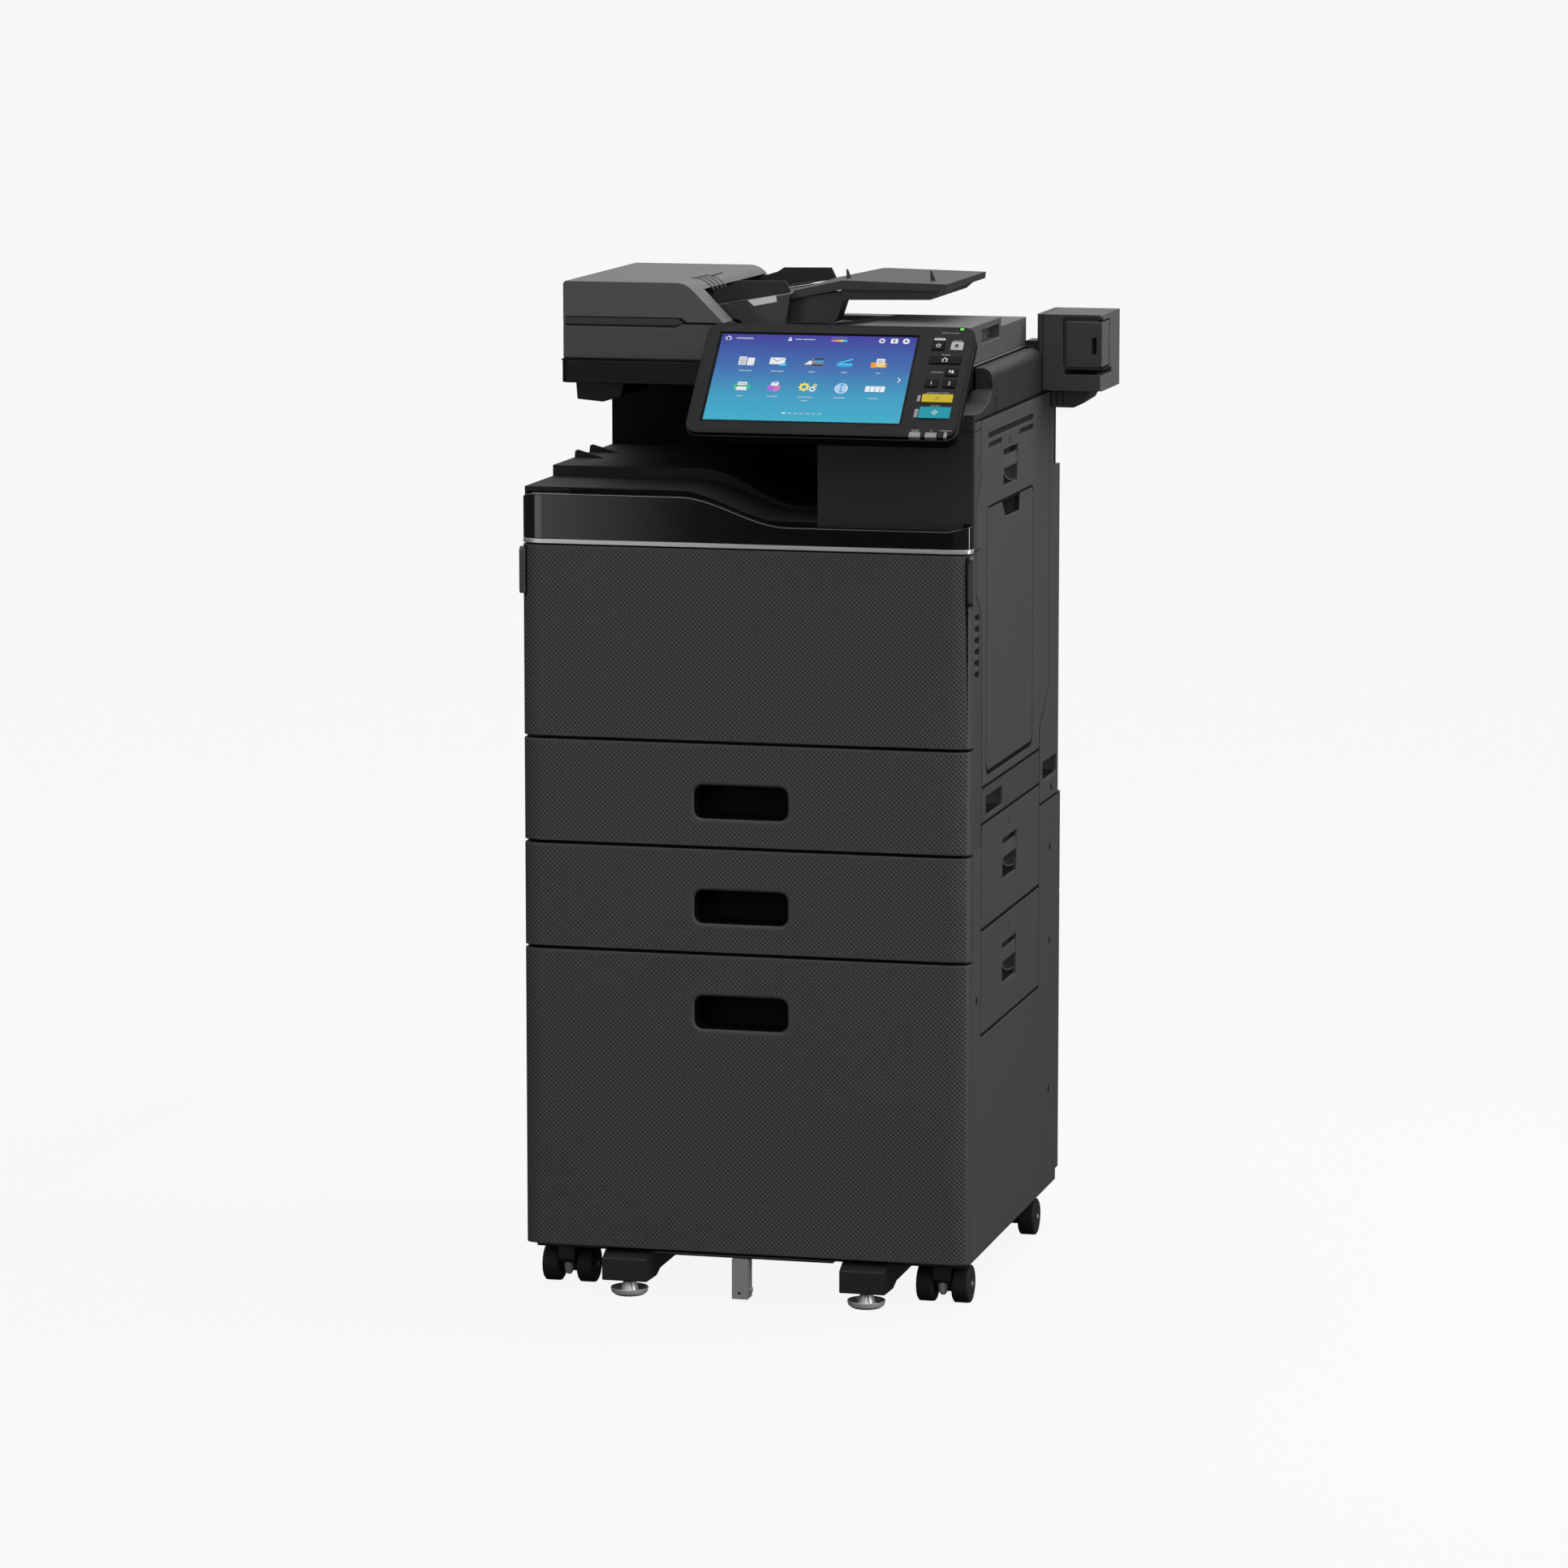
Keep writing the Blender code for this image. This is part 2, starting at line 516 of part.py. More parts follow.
def build_output_tray(space):
    """The stepped paper deck behind the band: thin sheets over the engine, with a skirt at the left."""
    front, step_front, rear = BAND_BACK_Y + 0.0005, 0.1500, BAY_REAR_Y - 0.001
    terrace = prism(deck_outline(1.0440, 1.0085, 0.006), "y", front, step_front + 0.004)
    step = prism(deck_outline(1.0580, 1.0120, 0.020), "y", step_front, rear)
    skirt = block((-BODY_X, -BODY_X + WALL), (front, rear), (FASCIA_Z, 1.0420))
    fin = [(-0.2915, 1.0560), (-0.2905, 1.0670), (-0.2870, 1.0685), (-0.2500, 1.0580), (-0.2500, 1.0560)]
    fins = [prism(fin, "y", y, y + 0.003) for y in (0.2490, 0.3210)]
    node("output_tray", [terrace], space, "black_plastic", adds=[step, skirt] + fins)


def build_engine_parts(machine):
    """What the front cover hides: the toner cartridge and the photoconductor drum, both along y."""
    bottle = turned([(0.045, 0), (0.045, 0.036), (0.055, 0.046), (0.420, 0.046), (0.430, 0.030), (0.430, 0)],
                    "y", (-0.150, 0.0, 0.900), 20)
    grip = block((-0.174, -0.126), (0.034, 0.052), (0.893, 0.907))
    node("toner_cartridge", [bottle], machine, "toner_body", adds=[grip], smooth=True)
    axis = Space("drum_axis", (0.060, 0.0, 0.850), machine)
    drum = turned([(0.040, 0), (0.040, 0.008), (0.060, 0.008), (0.060, 0.015), (0.440, 0.015),
                   (0.440, 0.008), (0.460, 0.008), (0.460, 0)], "y", axis.origin, 16)
    node("photoconductor_drum", [drum], axis, "drum_blue", smooth=True)


# ---------------------------------------------------------------- side doors
def latch(name, y, z, space):
    """A pull paddle in a door's pocket; it turns about its top edge."""
    pivot = Space(f"{name}_axis", (BODY_X - 0.0025, 0.0, z[1] - 0.0025), space)
    paddle = [(BODY_X - 0.0050, z[1] - 0.0010), (BODY_X - 0.0010, z[1] - 0.0010), (BODY_X - 0.0004, z[0]),
              (BODY_X - 0.0030, z[0]), (BODY_X - 0.0050, z[1] - 0.0080)]
    node(name, [prism(paddle, "y", y[0] + 0.0010, y[1] - 0.0010)], pivot, "black_plastic")


def build_side_door(machine):
    pivot = Space("side_door_hinge", (0.2890, 0.0, 0.6735), machine)
    inner, outer = 0.2805, BODY_X
    vents = [
        block((outer - 0.005, 0.31), (y0, y1), (z0, z1))
        for y0, y1, z0, z1 in ((0.106, 0.385, 1.109, 1.117), (0.106, 0.188, 1.097, 1.104),
                               (0.295, 0.385, 1.097, 1.104))
    ]
    dashes = [
        block((outer - 0.001, 0.31), (0.232, 0.248), (1.0920 + 0.004 * i, 1.0932 + 0.004 * i))
        for i in range(3)
    ]
    tray_recess = prism(rounded((0.0985, 0.6815), (0.3875, 1.0225), 0.014), "x", 0.2845, 0.31)
    latch_pocket = block((0.2835, 0.31), (0.1980, 0.2860), (1.0400, 1.0870))
    node("side_door", [prism(SIDE_DOOR, "x", inner, outer)], pivot, "cover_grey",
         cuts=vents + dashes + [tray_recess, latch_pocket])
    latch("side_door_latch", (0.1980, 0.2860), (1.0620, 1.0860), pivot)
    tray_pivot = Space("bypass_tray_hinge", (0.2900, 0.0, 0.6870), pivot)
    tray = rounded((0.1000, 0.6845), (0.3860, 1.0210), 0.0130)
    notch = [(0.1860, 1.0300), (0.1860, 1.0170), (0.2000, 1.0010), (0.2580, 1.0010), (0.2950, 1.0170),
             (0.2950, 1.0300)]
    node("bypass_tray", [prism(tray, "x", 0.2862, outer)], tray_pivot, "cover_grey",
         cuts=[prism(notch, "x", 0.28, 0.31)])


def build_access_doors(machine):
    for name, low, high in (("upper", 0.4855, 0.6195), ("lower", 0.3490, 0.4825)):
        pivot = Space(f"{name}_access_hinge", (0.2895, 0.0, low + 0.0040), machine)
        pocket_z = (high - 0.0910, high - 0.0370)
        pocket = block((0.2855, 0.31), (0.2030, 0.2920), pocket_z)
        dashes = [
            block((BODY_X - 0.001, 0.31), (0.2380, 0.2540), (z, z + 0.0012))
            for z in (high - 0.0240, high - 0.0200, high - 0.0160)
        ]
        node(f"{name}_access_door", [block((0.2825, BODY_X), (0.0745, 0.4355), (low, high))], pivot,
             "cover_grey", cuts=[pocket] + dashes)
        latch(f"{name}_access_latch", (0.2030, 0.2920), (pocket_z[1] - 0.0265, pocket_z[1]), pivot)


# ---------------------------------------------------------------- scanner and document feeder
def build_scanner(machine):
    low, high = SCANNER_Z
    outer = prism(rounded((-SCANNER_X, SCANNER_Y[0]), (SCANNER_X, SCANNER_Y[1]), 0.012, 3), "z", low, high)
    inside = block((-0.255, 0.255), (0.115, 0.445), (low + 0.003, high + 0.01))
    hung_block = prism([(-0.2480, 1.1480), (-0.2140, 1.1450), (-0.1900, 1.1520), (-0.1850, low + 0.002),
                        (-0.2500, low + 0.002)], "y", 0.110, 0.240)
    arms = []
    pivot_y, pivot_z = panel_pivot()
    for x in (0.080, 0.2005):
        bar = [(pivot_y + 0.004, pivot_z - 0.010), (0.100, low + 0.004), (0.100, high - 0.004),
               (pivot_y - 0.002, pivot_z + 0.0105)]
        arms.append(prism(bar, "x", x, x + 0.0190))
        arms.append(turned([(x, 0), (x, 0.0115), (x + 0.0190, 0.0115), (x + 0.0190, 0)], "x",
                           (0.0, pivot_y, pivot_z), 12))
    node("scanner_housing", [outer], machine, "black_plastic", adds=[hung_block] + arms, cuts=[inside])
    node("platen_glass", [block((-0.2545, 0.2545), (0.1155, 0.4445), (high - 0.0035, high))], machine,
         "glass")
    carriage = Space("scan_carriage_slide", (-0.220, 0.28, 1.183), machine)
    node("scan_carriage", [block((-0.2450, -0.2000), (0.1200, 0.4400), (low + 0.0050, high - 0.0060))],
         carriage, "zinc_frame",
         cuts=[block((-0.2260, -0.2190), (0.1300, 0.4300), (high - 0.0090, high))])


def build_feeder(machine):
    hinge = Space("document_feeder_hinge", (0.0, 0.4600, 1.2035), machine)
    y0, y1 = FEEDER_Y
    bottom, split = FEEDER_Z[0], FEEDER_SPLIT_Z
    left = prism([(-SCANNER_X, bottom), (-0.0400, bottom), (-0.0400, 1.2300), (-0.0560, split - 0.0010),
                  (-SCANNER_X, split - 0.0010)], "y", y0, y1)
    plate = block((-0.0500, SCANNER_X), (y0, y1), (bottom, 1.2300))
    rim = block((0.2300, SCANNER_X), (y0, y1), (1.2200, 1.2370))
    rear_rim = block((-0.0500, SCANNER_X), (y1 - 0.030, y1), (1.2200, 1.2370))
    front_block = prism([(0.0500, 1.2250), (0.0500, 1.2370), (0.1300, 1.2490), (SCANNER_X, 1.2490),
                         (SCANNER_X, 1.2250)], "y", y0, 0.3000)
    groove = prism([(-0.2640, 1.2415), (-0.1180, 1.2415), (-0.1050, 1.2475), (-0.2640, 1.2475)], "y",
                   0.10, y0 + 0.008)
    hollow = block((-0.2570, 0.2570), (y0 + 0.009, y1 - 0.009), (1.19, 1.2150))
    grip = block((0.2520, 0.28), (0.1800, 0.2900), (1.2230, 1.2405))
    node("feeder_base", [left], hinge, "feeder_grey", adds=[plate, rim, rear_rim, front_block],
         cuts=[groove, hollow, grip])

    cover = Space("feeder_cover_hinge", (-0.2640, 0.0, 1.2515), hinge)
    top = FEEDER_Z[1]
    corner = reversed(arc((-0.1165, top - 0.0280), 0.0280, 45, 90, 5))
    outline = [(-SCANNER_X, split + 0.0010), (-SCANNER_X, top - 0.003), (-SCANNER_X + 0.003, top)]
    outline += list(corner) + [(-0.0540, split + 0.0010)]
    inner = [(-SCANNER_X + 0.005, split - 0.01), (-SCANNER_X + 0.005, top - 0.005), (-0.1200, top - 0.005),
             (-0.1040, top - 0.010), (-0.0700, 1.2600), (-0.0700, split - 0.01)]
    mouth = block((-0.1180, -0.0400), (0.1600, 0.4460), (split - 0.01, 1.2880))
    cover_groove = prism([(-0.2640, 1.2470), (-0.1020, 1.2470), (-0.1100, 1.2540), (-0.2640, 1.2540)], "y",
                         0.10, y0 + 0.008)
    lever = prism([(-0.2630, 1.2440), (-0.1200, 1.2440), (-0.1080, 1.2475), (-0.1150, 1.2530),
                   (-0.2630, 1.2530)], "y", y0 + 0.0005, y0 + 0.0060)
    bar_link = block((-0.2500, -0.1300), (y0 + 0.003, y0 + 0.009), (1.2490, 1.2550))
    top_cover = node("feeder_top_cover", [prism(outline, "y", y0, y1)], cover, "feeder_grey",
                     cuts=[prism(inner, "y", y0 + 0.010, y1 - 0.005), mouth, cover_groove])
    combine(top_cover, "UNION", [lever, bar_link], cover)

    roller = Space("feed_roller_axis", (-0.1370, 0.0, 1.2640), cover)
    profile = [(0.2400, 0), (0.2400, 0.004), (0.2700, 0.004), (0.2700, 0.010), (0.3400, 0.010),
               (0.3400, 0.004), (0.3700, 0.004), (0.3700, 0)]
    node("feed_roller", [turned(profile, "y", roller.origin, 16)], roller, "rubber", smooth=True)
    build_input_tray(hinge)


def build_input_tray(feeder):
    tray = Space("input_tray_hinge", (-0.0700, 0.0, 1.2580), feeder)
    top = [(-0.0950, 1.2635), (0.0175, 1.2823), (0.0195, 1.2865), (0.0817, 1.3000), (0.0880, 1.3003),
           (0.2200, 1.2975)]
    under = [(0.2190, 1.2890), (0.0840, 1.2885), (0.0200, 1.2765), (-0.0950, 1.2585)]
    sheet = prism(top + under, "y", 0.1860, 0.4230)
    store = prism([(0.0790, 1.2880), (0.0810, 1.2745), (0.1960, 1.2765), (0.2120, 1.2900)], "y",
                  0.1960, 0.4130)
    wedge = prism([(-0.0200, 1.2700), (-0.0200, 1.2420), (0.0680, 1.2450), (0.0730, 1.2500),
                   (0.0850, 1.2860)], "y", 0.2000, 0.2350)
    side = [(-0.0785, 1.2660), (-0.0640, 1.2505), (-0.0500, 1.2490), (-0.0360, 1.2400), (0.0120, 1.2400),
            (0.0175, 1.2823)]
    skirts = [prism(side, "y", y, y + 0.0070) for y in (0.1700, 0.4330)]
    ties = [block((-0.0400, 0.0100), y, (1.2600, 1.2730)) for y in ((0.1740, 0.1900), (0.4200, 0.4360))]
    fins = [
        prism([(x, 1.2950), (x - 0.001, 1.3110), (x + 0.001, 1.3110), (x + 0.0075, 1.2950)], "y",
              0.2350, 0.2380)
        for x in (0.0775, 0.1880)
    ]
    node("feeder_input_tray", [sheet], tray, "black_plastic", adds=[store, wedge] + skirts + ties + fins)

    outline = [(-0.0840, 1.2670), (0.0155, 1.2838), (0.0175, 1.2860), (0.0111, 1.2990), (-0.0531, 1.2982),
               (-0.0613, 1.2928), (-0.0840, 1.2858)]
    for name, y, toward in (("front", 0.1770, 1), ("rear", 0.4280, -1)):
        slide = Space(f"guide_{name}_slide", (-0.030, y, 1.28), tray)
        foot = [(-0.0700, 1.2694), (-0.0100, 1.2794), (-0.0100, 1.2820), (-0.0700, 1.2720)]
        reach = sorted((y + toward * 0.003, y + toward * 0.030))
        node(f"guide_{name}", [prism(outline, "y", y - 0.0020, y + 0.0020)], slide, "black_plastic",
             adds=[prism(foot, "y", reach[0] - 0.003 * (toward > 0), reach[1] + 0.003 * (toward < 0))])


# ---------------------------------------------------------------- control panel
def panel_point(v, w):
    """Machine y and z of a point in panel coordinates: v up the slope, w out of its face."""
    y = SCREEN_CORNER[1] + v * cos(PANEL_TILT) - w * sin(PANEL_TILT)
    z = SCREEN_CORNER[2] + v * sin(PANEL_TILT) + w * cos(PANEL_TILT)
    return y, z


def panel_pivot():
    return panel_point(PANEL_PIVOT_V, PANEL_PIVOT_W)


def build_panel(machine):
    pivot = Space("control_panel_hinge", (0.0, *panel_pivot()), machine)
    plane = Space("control_panel_plane", SCREEN_CORNER, pivot, (PANEL_TILT, 0.0, 0.0), True)
    body = prism(rounded((PANEL_U[0], PANEL_V[0]), (PANEL_U[1], PANEL_V[1]), 0.016), "z", PANEL_BACK, 0.0)
    knuckle_u = (0.0995 - SCREEN_CORNER[0], 0.2000 - SCREEN_CORNER[0])
    v, w = PANEL_PIVOT_V, PANEL_PIVOT_W
    knuckle = turned([(knuckle_u[0], 0), (knuckle_u[0], 0.0110), (knuckle_u[1], 0.0110), (knuckle_u[1], 0)],
                     "x", (0.0, v, w), 12)
    web = block(knuckle_u, (v - 0.011, v + 0.011), (w, PANEL_BACK + 0.002))
    margin, width, height = 0.0035, *SCREEN_SIZE
    pockets = [block((-margin, width + margin), (-height - margin, margin), (-0.0060, 0.01))]
    for u, key_v, key_width, key_height, _ in KEYS.values():
        half_u, half_v = key_width / 2 + KEY_CLEARANCE, key_height / 2 + KEY_CLEARANCE
        pockets.append(block((u - half_u, u + half_u), (key_v - half_v, key_v + half_v), (KEY_POCKET, 0.01)))
    node("panel_housing", [body], plane, "panel_black", adds=[web, knuckle], cuts=pockets)
    inset = margin - 0.0005
    node("touch_screen", [block((-inset, width + inset), (-height - inset, inset), (-0.0055, -0.0008))],
         plane, "screen")
    for name, (u, key_v, key_width, key_height, finish) in KEYS.items():
        rest = Space(f"{name}_slide", (u, key_v, 0.0), plane)
        low = (-key_width / 2, -key_height / 2)
        high = (key_width / 2, key_height / 2)
        cap = prism(rounded(low, high, 0.0012, 2), "z", KEY_BOTTOM, KEY_TOP)
        made = node(name, [cap], rest, finish)
        made.location = (0.0, 0.0, 0.0)


# ---------------------------------------------------------------- stapler
def build_stapler(machine):
    """The side stapler: a box on the tower's right, its front left edge round, with a door at its front."""
    left, right, front, rear = 0.2845, 0.3720, 0.4400, 0.5600
    plan = [(left, rear)] + arc((left + 0.006, front + 0.006), 0.006, 180, 270, 4)
    plan += arc((right - 0.004, front + 0.004), 0.004, 270, 360, 3) + [(right, rear)]
    shell = prism(plan, "z", 1.1420, 1.2420)
    bracket = prism([(0.2935, 1.1150), (0.3240, 1.1150), (0.3400, 1.1250), (0.3500, 1.1440),
                     (0.2935, 1.1440)], "y", 0.4935, 0.5600)
    arm = prism([(0.2900, 1.1740), (0.2900, 1.2065), (0.2690, 1.2065), (0.2690, 1.1995),
                 (0.2790, 1.1960), (0.2840, 1.1880)], "y", 0.4450, 0.4850)
    door_space = [
        block((0.3195, 0.38), (0.43, 0.4462), (1.1630, 1.2385)),
        block((0.3652, 0.38), (0.4450, 0.4895), (1.1722, 1.2343)),
    ]
    slot = block((0.3212, 0.38), (0.43, 0.5050), (1.1630, 1.1700))
    node("stapler_housing", [shell], machine, "cover_grey", adds=[bracket, arm], cuts=door_space + [slot])
    hinge = Space("stapler_door_hinge", (0.3255, 0.4425, 1.2), machine)
    door_z = (1.1735, 1.2330)
    node("stapler_door", [block((0.3235, 0.3720), (0.4400, 0.4455), door_z)], hinge, "cover_grey",
         adds=[block((0.3660, 0.3720), (0.4420, 0.4880), door_z)],
         cuts=[block((0.3600, 0.3640), (0.43, 0.4430), (1.1900, 1.2120))])


def centre_on_footprint(machine):
    """Moves the machine so that the middle of its footprint box is at the origin."""
    bpy.context.view_layer.update()
    graph = bpy.context.evaluated_depsgraph_get()
    corners = []
    for piece in bpy.context.scene.objects:
        if piece.type == "MESH" and not piece.hide_render:
            shape = piece.evaluated_get(graph)
            corners += [shape.matrix_world @ Vector(corner) for corner in shape.bound_box]
    for axis in (0, 1):
        values = [corner[axis] for corner in corners]
        machine.empty.location[axis] -= (min(values) + max(values)) / 2


def main():
    for old in list(bpy.data.objects):
        bpy.data.objects.remove(old, do_unlink=True)
    bpy.context.scene.unit_settings.scale_length = 1.0
    machine = Space("machine", (0.0, 0.0, 0.0))
    build_base(machine)
    build_feet(machine)
    build_casters(machine)
    build_cabinets(machine)
    build_engine_frame(machine)
    build_tower(machine)
    build_rear_cover(machine)
    build_side_columns(machine)
    build_drawers(machine)
    build_front_cover(machine)
    build_fascia(machine)
    build_output_tray(machine)
    build_engine_parts(machine)
    build_side_door(machine)
    build_access_doors(machine)
    build_scanner(machine)
    build_feeder(machine)
    build_panel(machine)
    build_stapler(machine)
    centre_on_footprint(machine)


main()
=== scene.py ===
import json
from math import cos, pi, radians, sin

import bmesh
import bpy
from mathutils import Matrix, Vector

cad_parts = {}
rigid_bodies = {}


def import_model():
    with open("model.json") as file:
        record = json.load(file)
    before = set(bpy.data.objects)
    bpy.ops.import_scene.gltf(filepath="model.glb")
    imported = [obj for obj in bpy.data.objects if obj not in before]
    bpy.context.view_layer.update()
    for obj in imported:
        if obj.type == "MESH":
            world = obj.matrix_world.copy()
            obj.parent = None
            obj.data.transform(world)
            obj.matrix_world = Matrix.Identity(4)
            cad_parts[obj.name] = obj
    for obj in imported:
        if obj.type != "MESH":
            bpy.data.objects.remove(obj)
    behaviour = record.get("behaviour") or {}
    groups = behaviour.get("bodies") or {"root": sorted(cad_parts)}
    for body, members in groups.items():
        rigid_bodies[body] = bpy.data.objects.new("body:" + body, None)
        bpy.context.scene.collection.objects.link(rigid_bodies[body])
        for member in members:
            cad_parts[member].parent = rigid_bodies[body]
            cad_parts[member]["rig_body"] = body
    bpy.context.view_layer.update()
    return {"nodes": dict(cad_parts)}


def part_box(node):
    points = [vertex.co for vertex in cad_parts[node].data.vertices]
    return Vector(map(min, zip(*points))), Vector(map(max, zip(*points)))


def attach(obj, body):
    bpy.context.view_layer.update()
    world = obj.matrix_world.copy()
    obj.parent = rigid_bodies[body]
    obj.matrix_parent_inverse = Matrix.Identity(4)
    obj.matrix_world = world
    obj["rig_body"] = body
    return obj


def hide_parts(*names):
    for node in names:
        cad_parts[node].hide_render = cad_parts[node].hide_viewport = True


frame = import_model()

# ---------------------------------------------------------------- places, read from the frame
# Pieces are drawn in machine coordinates: x = 0 at the middle of the front, y = 0 on the drawer fronts and
# z = 0 on the floor. PANEL coordinates are u to the right and v up along the panel's face, w out of it.
CABINET_LOW, CABINET_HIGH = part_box("pedestal_cabinet")
MACHINE_X = (CABINET_LOW.x + CABINET_HIGH.x) / 2
MACHINE_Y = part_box("front_cover")[0].y
MACHINE = Matrix.Translation((MACHINE_X, MACHINE_Y, 0.0))
BODY_X = (CABINET_HIGH.x - CABINET_LOW.x) / 2

TILT = radians(43.9)
LIT_MARGIN, GLASS_W = 0.0030, -0.0008       # the glass reaches past the lit area; its face lies this deep
SCREEN_WIDTH, SCREEN_HEIGHT = 0.2506, 0.1416
GLASS_LOW, GLASS_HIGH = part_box("touch_screen")
PANEL_X = GLASS_LOW.x + LIT_MARGIN
PANEL_Y = GLASS_LOW.y + (SCREEN_HEIGHT + LIT_MARGIN) * cos(TILT) + GLASS_W * sin(TILT)
PANEL_Z = GLASS_HIGH.z - LIT_MARGIN * sin(TILT) - GLASS_W * cos(TILT)
PANEL = Matrix.Translation((PANEL_X, PANEL_Y, PANEL_Z)) @ Matrix.Rotation(TILT, 4, "X")


def linked(made):
    """Puts an object into the scene."""
    bpy.context.scene.collection.objects.link(made)
    return made


# ---------------------------------------------------------------- materials
def new_material(name):
    """A material with its nodes, its links and its main shader."""
    made = bpy.data.materials.new(name)
    made.use_nodes = True
    nodes = made.node_tree.nodes
    return made, nodes, made.node_tree.links, nodes["Principled BSDF"]


def set_inputs(node, **values):
    """Gives a node's inputs constant values; an underscore stands for a space in an input's name."""
    for key, value in values.items():
        node.inputs[key.replace("_", " ")].default_value = value


def add_node(nodes, kind, **inputs):
    made = nodes.new(kind)
    set_inputs(made, **inputs)
    return made


def noise(nodes, links, place, scale, detail, roughness):
    """The output of a noise texture."""
    made = add_node(nodes, "ShaderNodeTexNoise", Scale=scale, Detail=detail, Roughness=roughness)
    links.new(place, made.inputs["Vector"])
    return made.outputs["Fac"]


def calculated(nodes, links, operation, first, second=None, third=None):
    """The output of a maths node; first, second and third are sockets or numbers."""
    made = nodes.new("ShaderNodeMath")
    made.operation = operation
    for socket, value in zip(made.inputs, (first, second, third)):
        if value is None:
            continue
        if isinstance(value, (int, float)):
            socket.default_value = value
        else:
            links.new(value, socket)
    return made.outputs[0]


def blended(nodes, links, share, dark, light):
    """The output of a colour mix: dark where share is 0 and light where it is 1."""
    made = nodes.new("ShaderNodeMix")
    made.data_type = "RGBA"
    links.new(share, made.inputs["Factor"])
    for key, colour in (("A", dark), ("B", light)):
        socket = made.inputs[6 if key == "A" else 7]
        if isinstance(colour, (tuple, list)):
            socket.default_value = (*colour, 1.0)
        else:
            links.new(colour, socket)
    return made.outputs[2]


def add_bump(nodes, links, shader, height, strength, depth):
    """Bumps the surface, on top of any bump that it has."""
    made = add_node(nodes, "ShaderNodeBump", Strength=strength, Distance=depth)
    links.new(height, made.inputs["Height"])
    for old in list(shader.inputs["Normal"].links):
        links.new(old.from_socket, made.inputs["Normal"])
    links.new(made.outputs["Normal"], shader.inputs["Normal"])


def set_stops(ramp, stops):
    """Gives a colour ramp its (position, colour) stops."""
    elements = ramp.color_ramp.elements
    for number, (position, colour) in enumerate(stops):
        stop = elements[number] if number < 2 else elements.new(position)
        stop.position = position
        stop.color = (*colour, 1.0)


def scaled(colour, share):
    return tuple(part * share for part in colour)


def grey(value):
    return (value, value, value)


def moulded(name, colour, roughness, grain=0.0011, depth=0.00005, mottle=0.05, polish=0.05, metal=0.0,
            specular=0.5, coat=0.0):
    """Moulded plastic or metal: fine surface grain, cloudy colour and cloudy gloss."""
    made, nodes, links, shader = new_material(name)
    place = nodes.new("ShaderNodeTexCoord").outputs["Object"]
    cloud = noise(nodes, links, place, 9.0, 5.0, 0.6)
    share = calculated(nodes, links, "MULTIPLY_ADD", cloud, 1.6, -0.3)
    tone = blended(nodes, links, share, scaled(colour, 1 - mottle), scaled(colour, 1 + mottle))
    links.new(tone, shader.inputs["Base Color"])
    smudge = noise(nodes, links, place, 23.0, 3.0, 0.5)
    gloss = calculated(nodes, links, "MULTIPLY_ADD", smudge, 2 * polish, roughness - polish)
    links.new(gloss, shader.inputs["Roughness"])
    fine = noise(nodes, links, place, 1 / grain, 2.0, 0.5)
    add_bump(nodes, links, shader, fine, 0.6, depth)
    set_inputs(shader, Metallic=metal, Specular_IOR_Level=specular, Coat_Weight=coat)
    return made


def embossed(name, colour, roughness, pitch, depth, contrast):
    """Plastic with a moulded lattice of small studs, in staggered rows."""
    made = moulded(name, colour, roughness, grain=0.0014, depth=0.00003)
    nodes, links = made.node_tree.nodes, made.node_tree.links
    shader = nodes["Principled BSDF"]
    place = next(node for node in nodes if node.type == "TEX_COORD").outputs["Object"]
    split = nodes.new("ShaderNodeSeparateXYZ")
    links.new(place, split.inputs[0])
    waves = []
    for axis in ("X", "Z"):
        turn = calculated(nodes, links, "MULTIPLY", split.outputs[axis], 2 * pi / pitch)
        waves.append(calculated(nodes, links, "COSINE", turn))
    lattice = calculated(nodes, links, "MULTIPLY", waves[0], waves[1])
    studs = add_node(nodes, "ShaderNodeMapRange", **{"From_Min": -0.9, "From_Max": 0.9})
    studs.interpolation_type = "SMOOTHSTEP"
    links.new(lattice, studs.inputs["Value"])
    tone = shader.inputs["Base Color"].links[0].from_socket
    shade = nodes.new("ShaderNodeMix")
    shade.data_type = "RGBA"
    shade.blend_type = "MULTIPLY"
    shade.inputs["Factor"].default_value = 1.0
    links.new(tone, shade.inputs[6])
    links.new(blended(nodes, links, studs.outputs[0], (1 - contrast,) * 3, (1 + contrast,) * 3),
              shade.inputs[7])
    links.new(shade.outputs[2], shader.inputs["Base Color"])
    add_bump(nodes, links, shader, studs.outputs[0], 1.0, depth)
    return made


def brushed(name, colour, roughness, axis, metal=1.0):
    """Metal with fine brush lines along an axis."""
    made, nodes, links, shader = new_material(name)
    place = nodes.new("ShaderNodeTexCoord").outputs["Object"]
    stretch = nodes.new("ShaderNodeMapping")
    scale = [900.0, 900.0, 900.0]
    scale["xyz".index(axis)] = 12.0
    stretch.inputs["Scale"].default_value = scale
    links.new(place, stretch.inputs["Vector"])
    lines = noise(nodes, links, stretch.outputs["Vector"], 1.0, 3.0, 0.6)
    links.new(blended(nodes, links, lines, scaled(colour, 0.82), scaled(colour, 1.12)),
              shader.inputs["Base Color"])
    gloss = calculated(nodes, links, "MULTIPLY_ADD", lines, 0.2, roughness - 0.1)
    links.new(gloss, shader.inputs["Roughness"])
    add_bump(nodes, links, shader, lines, 0.4, 0.00002)
    shader.inputs["Metallic"].default_value = metal
    return made


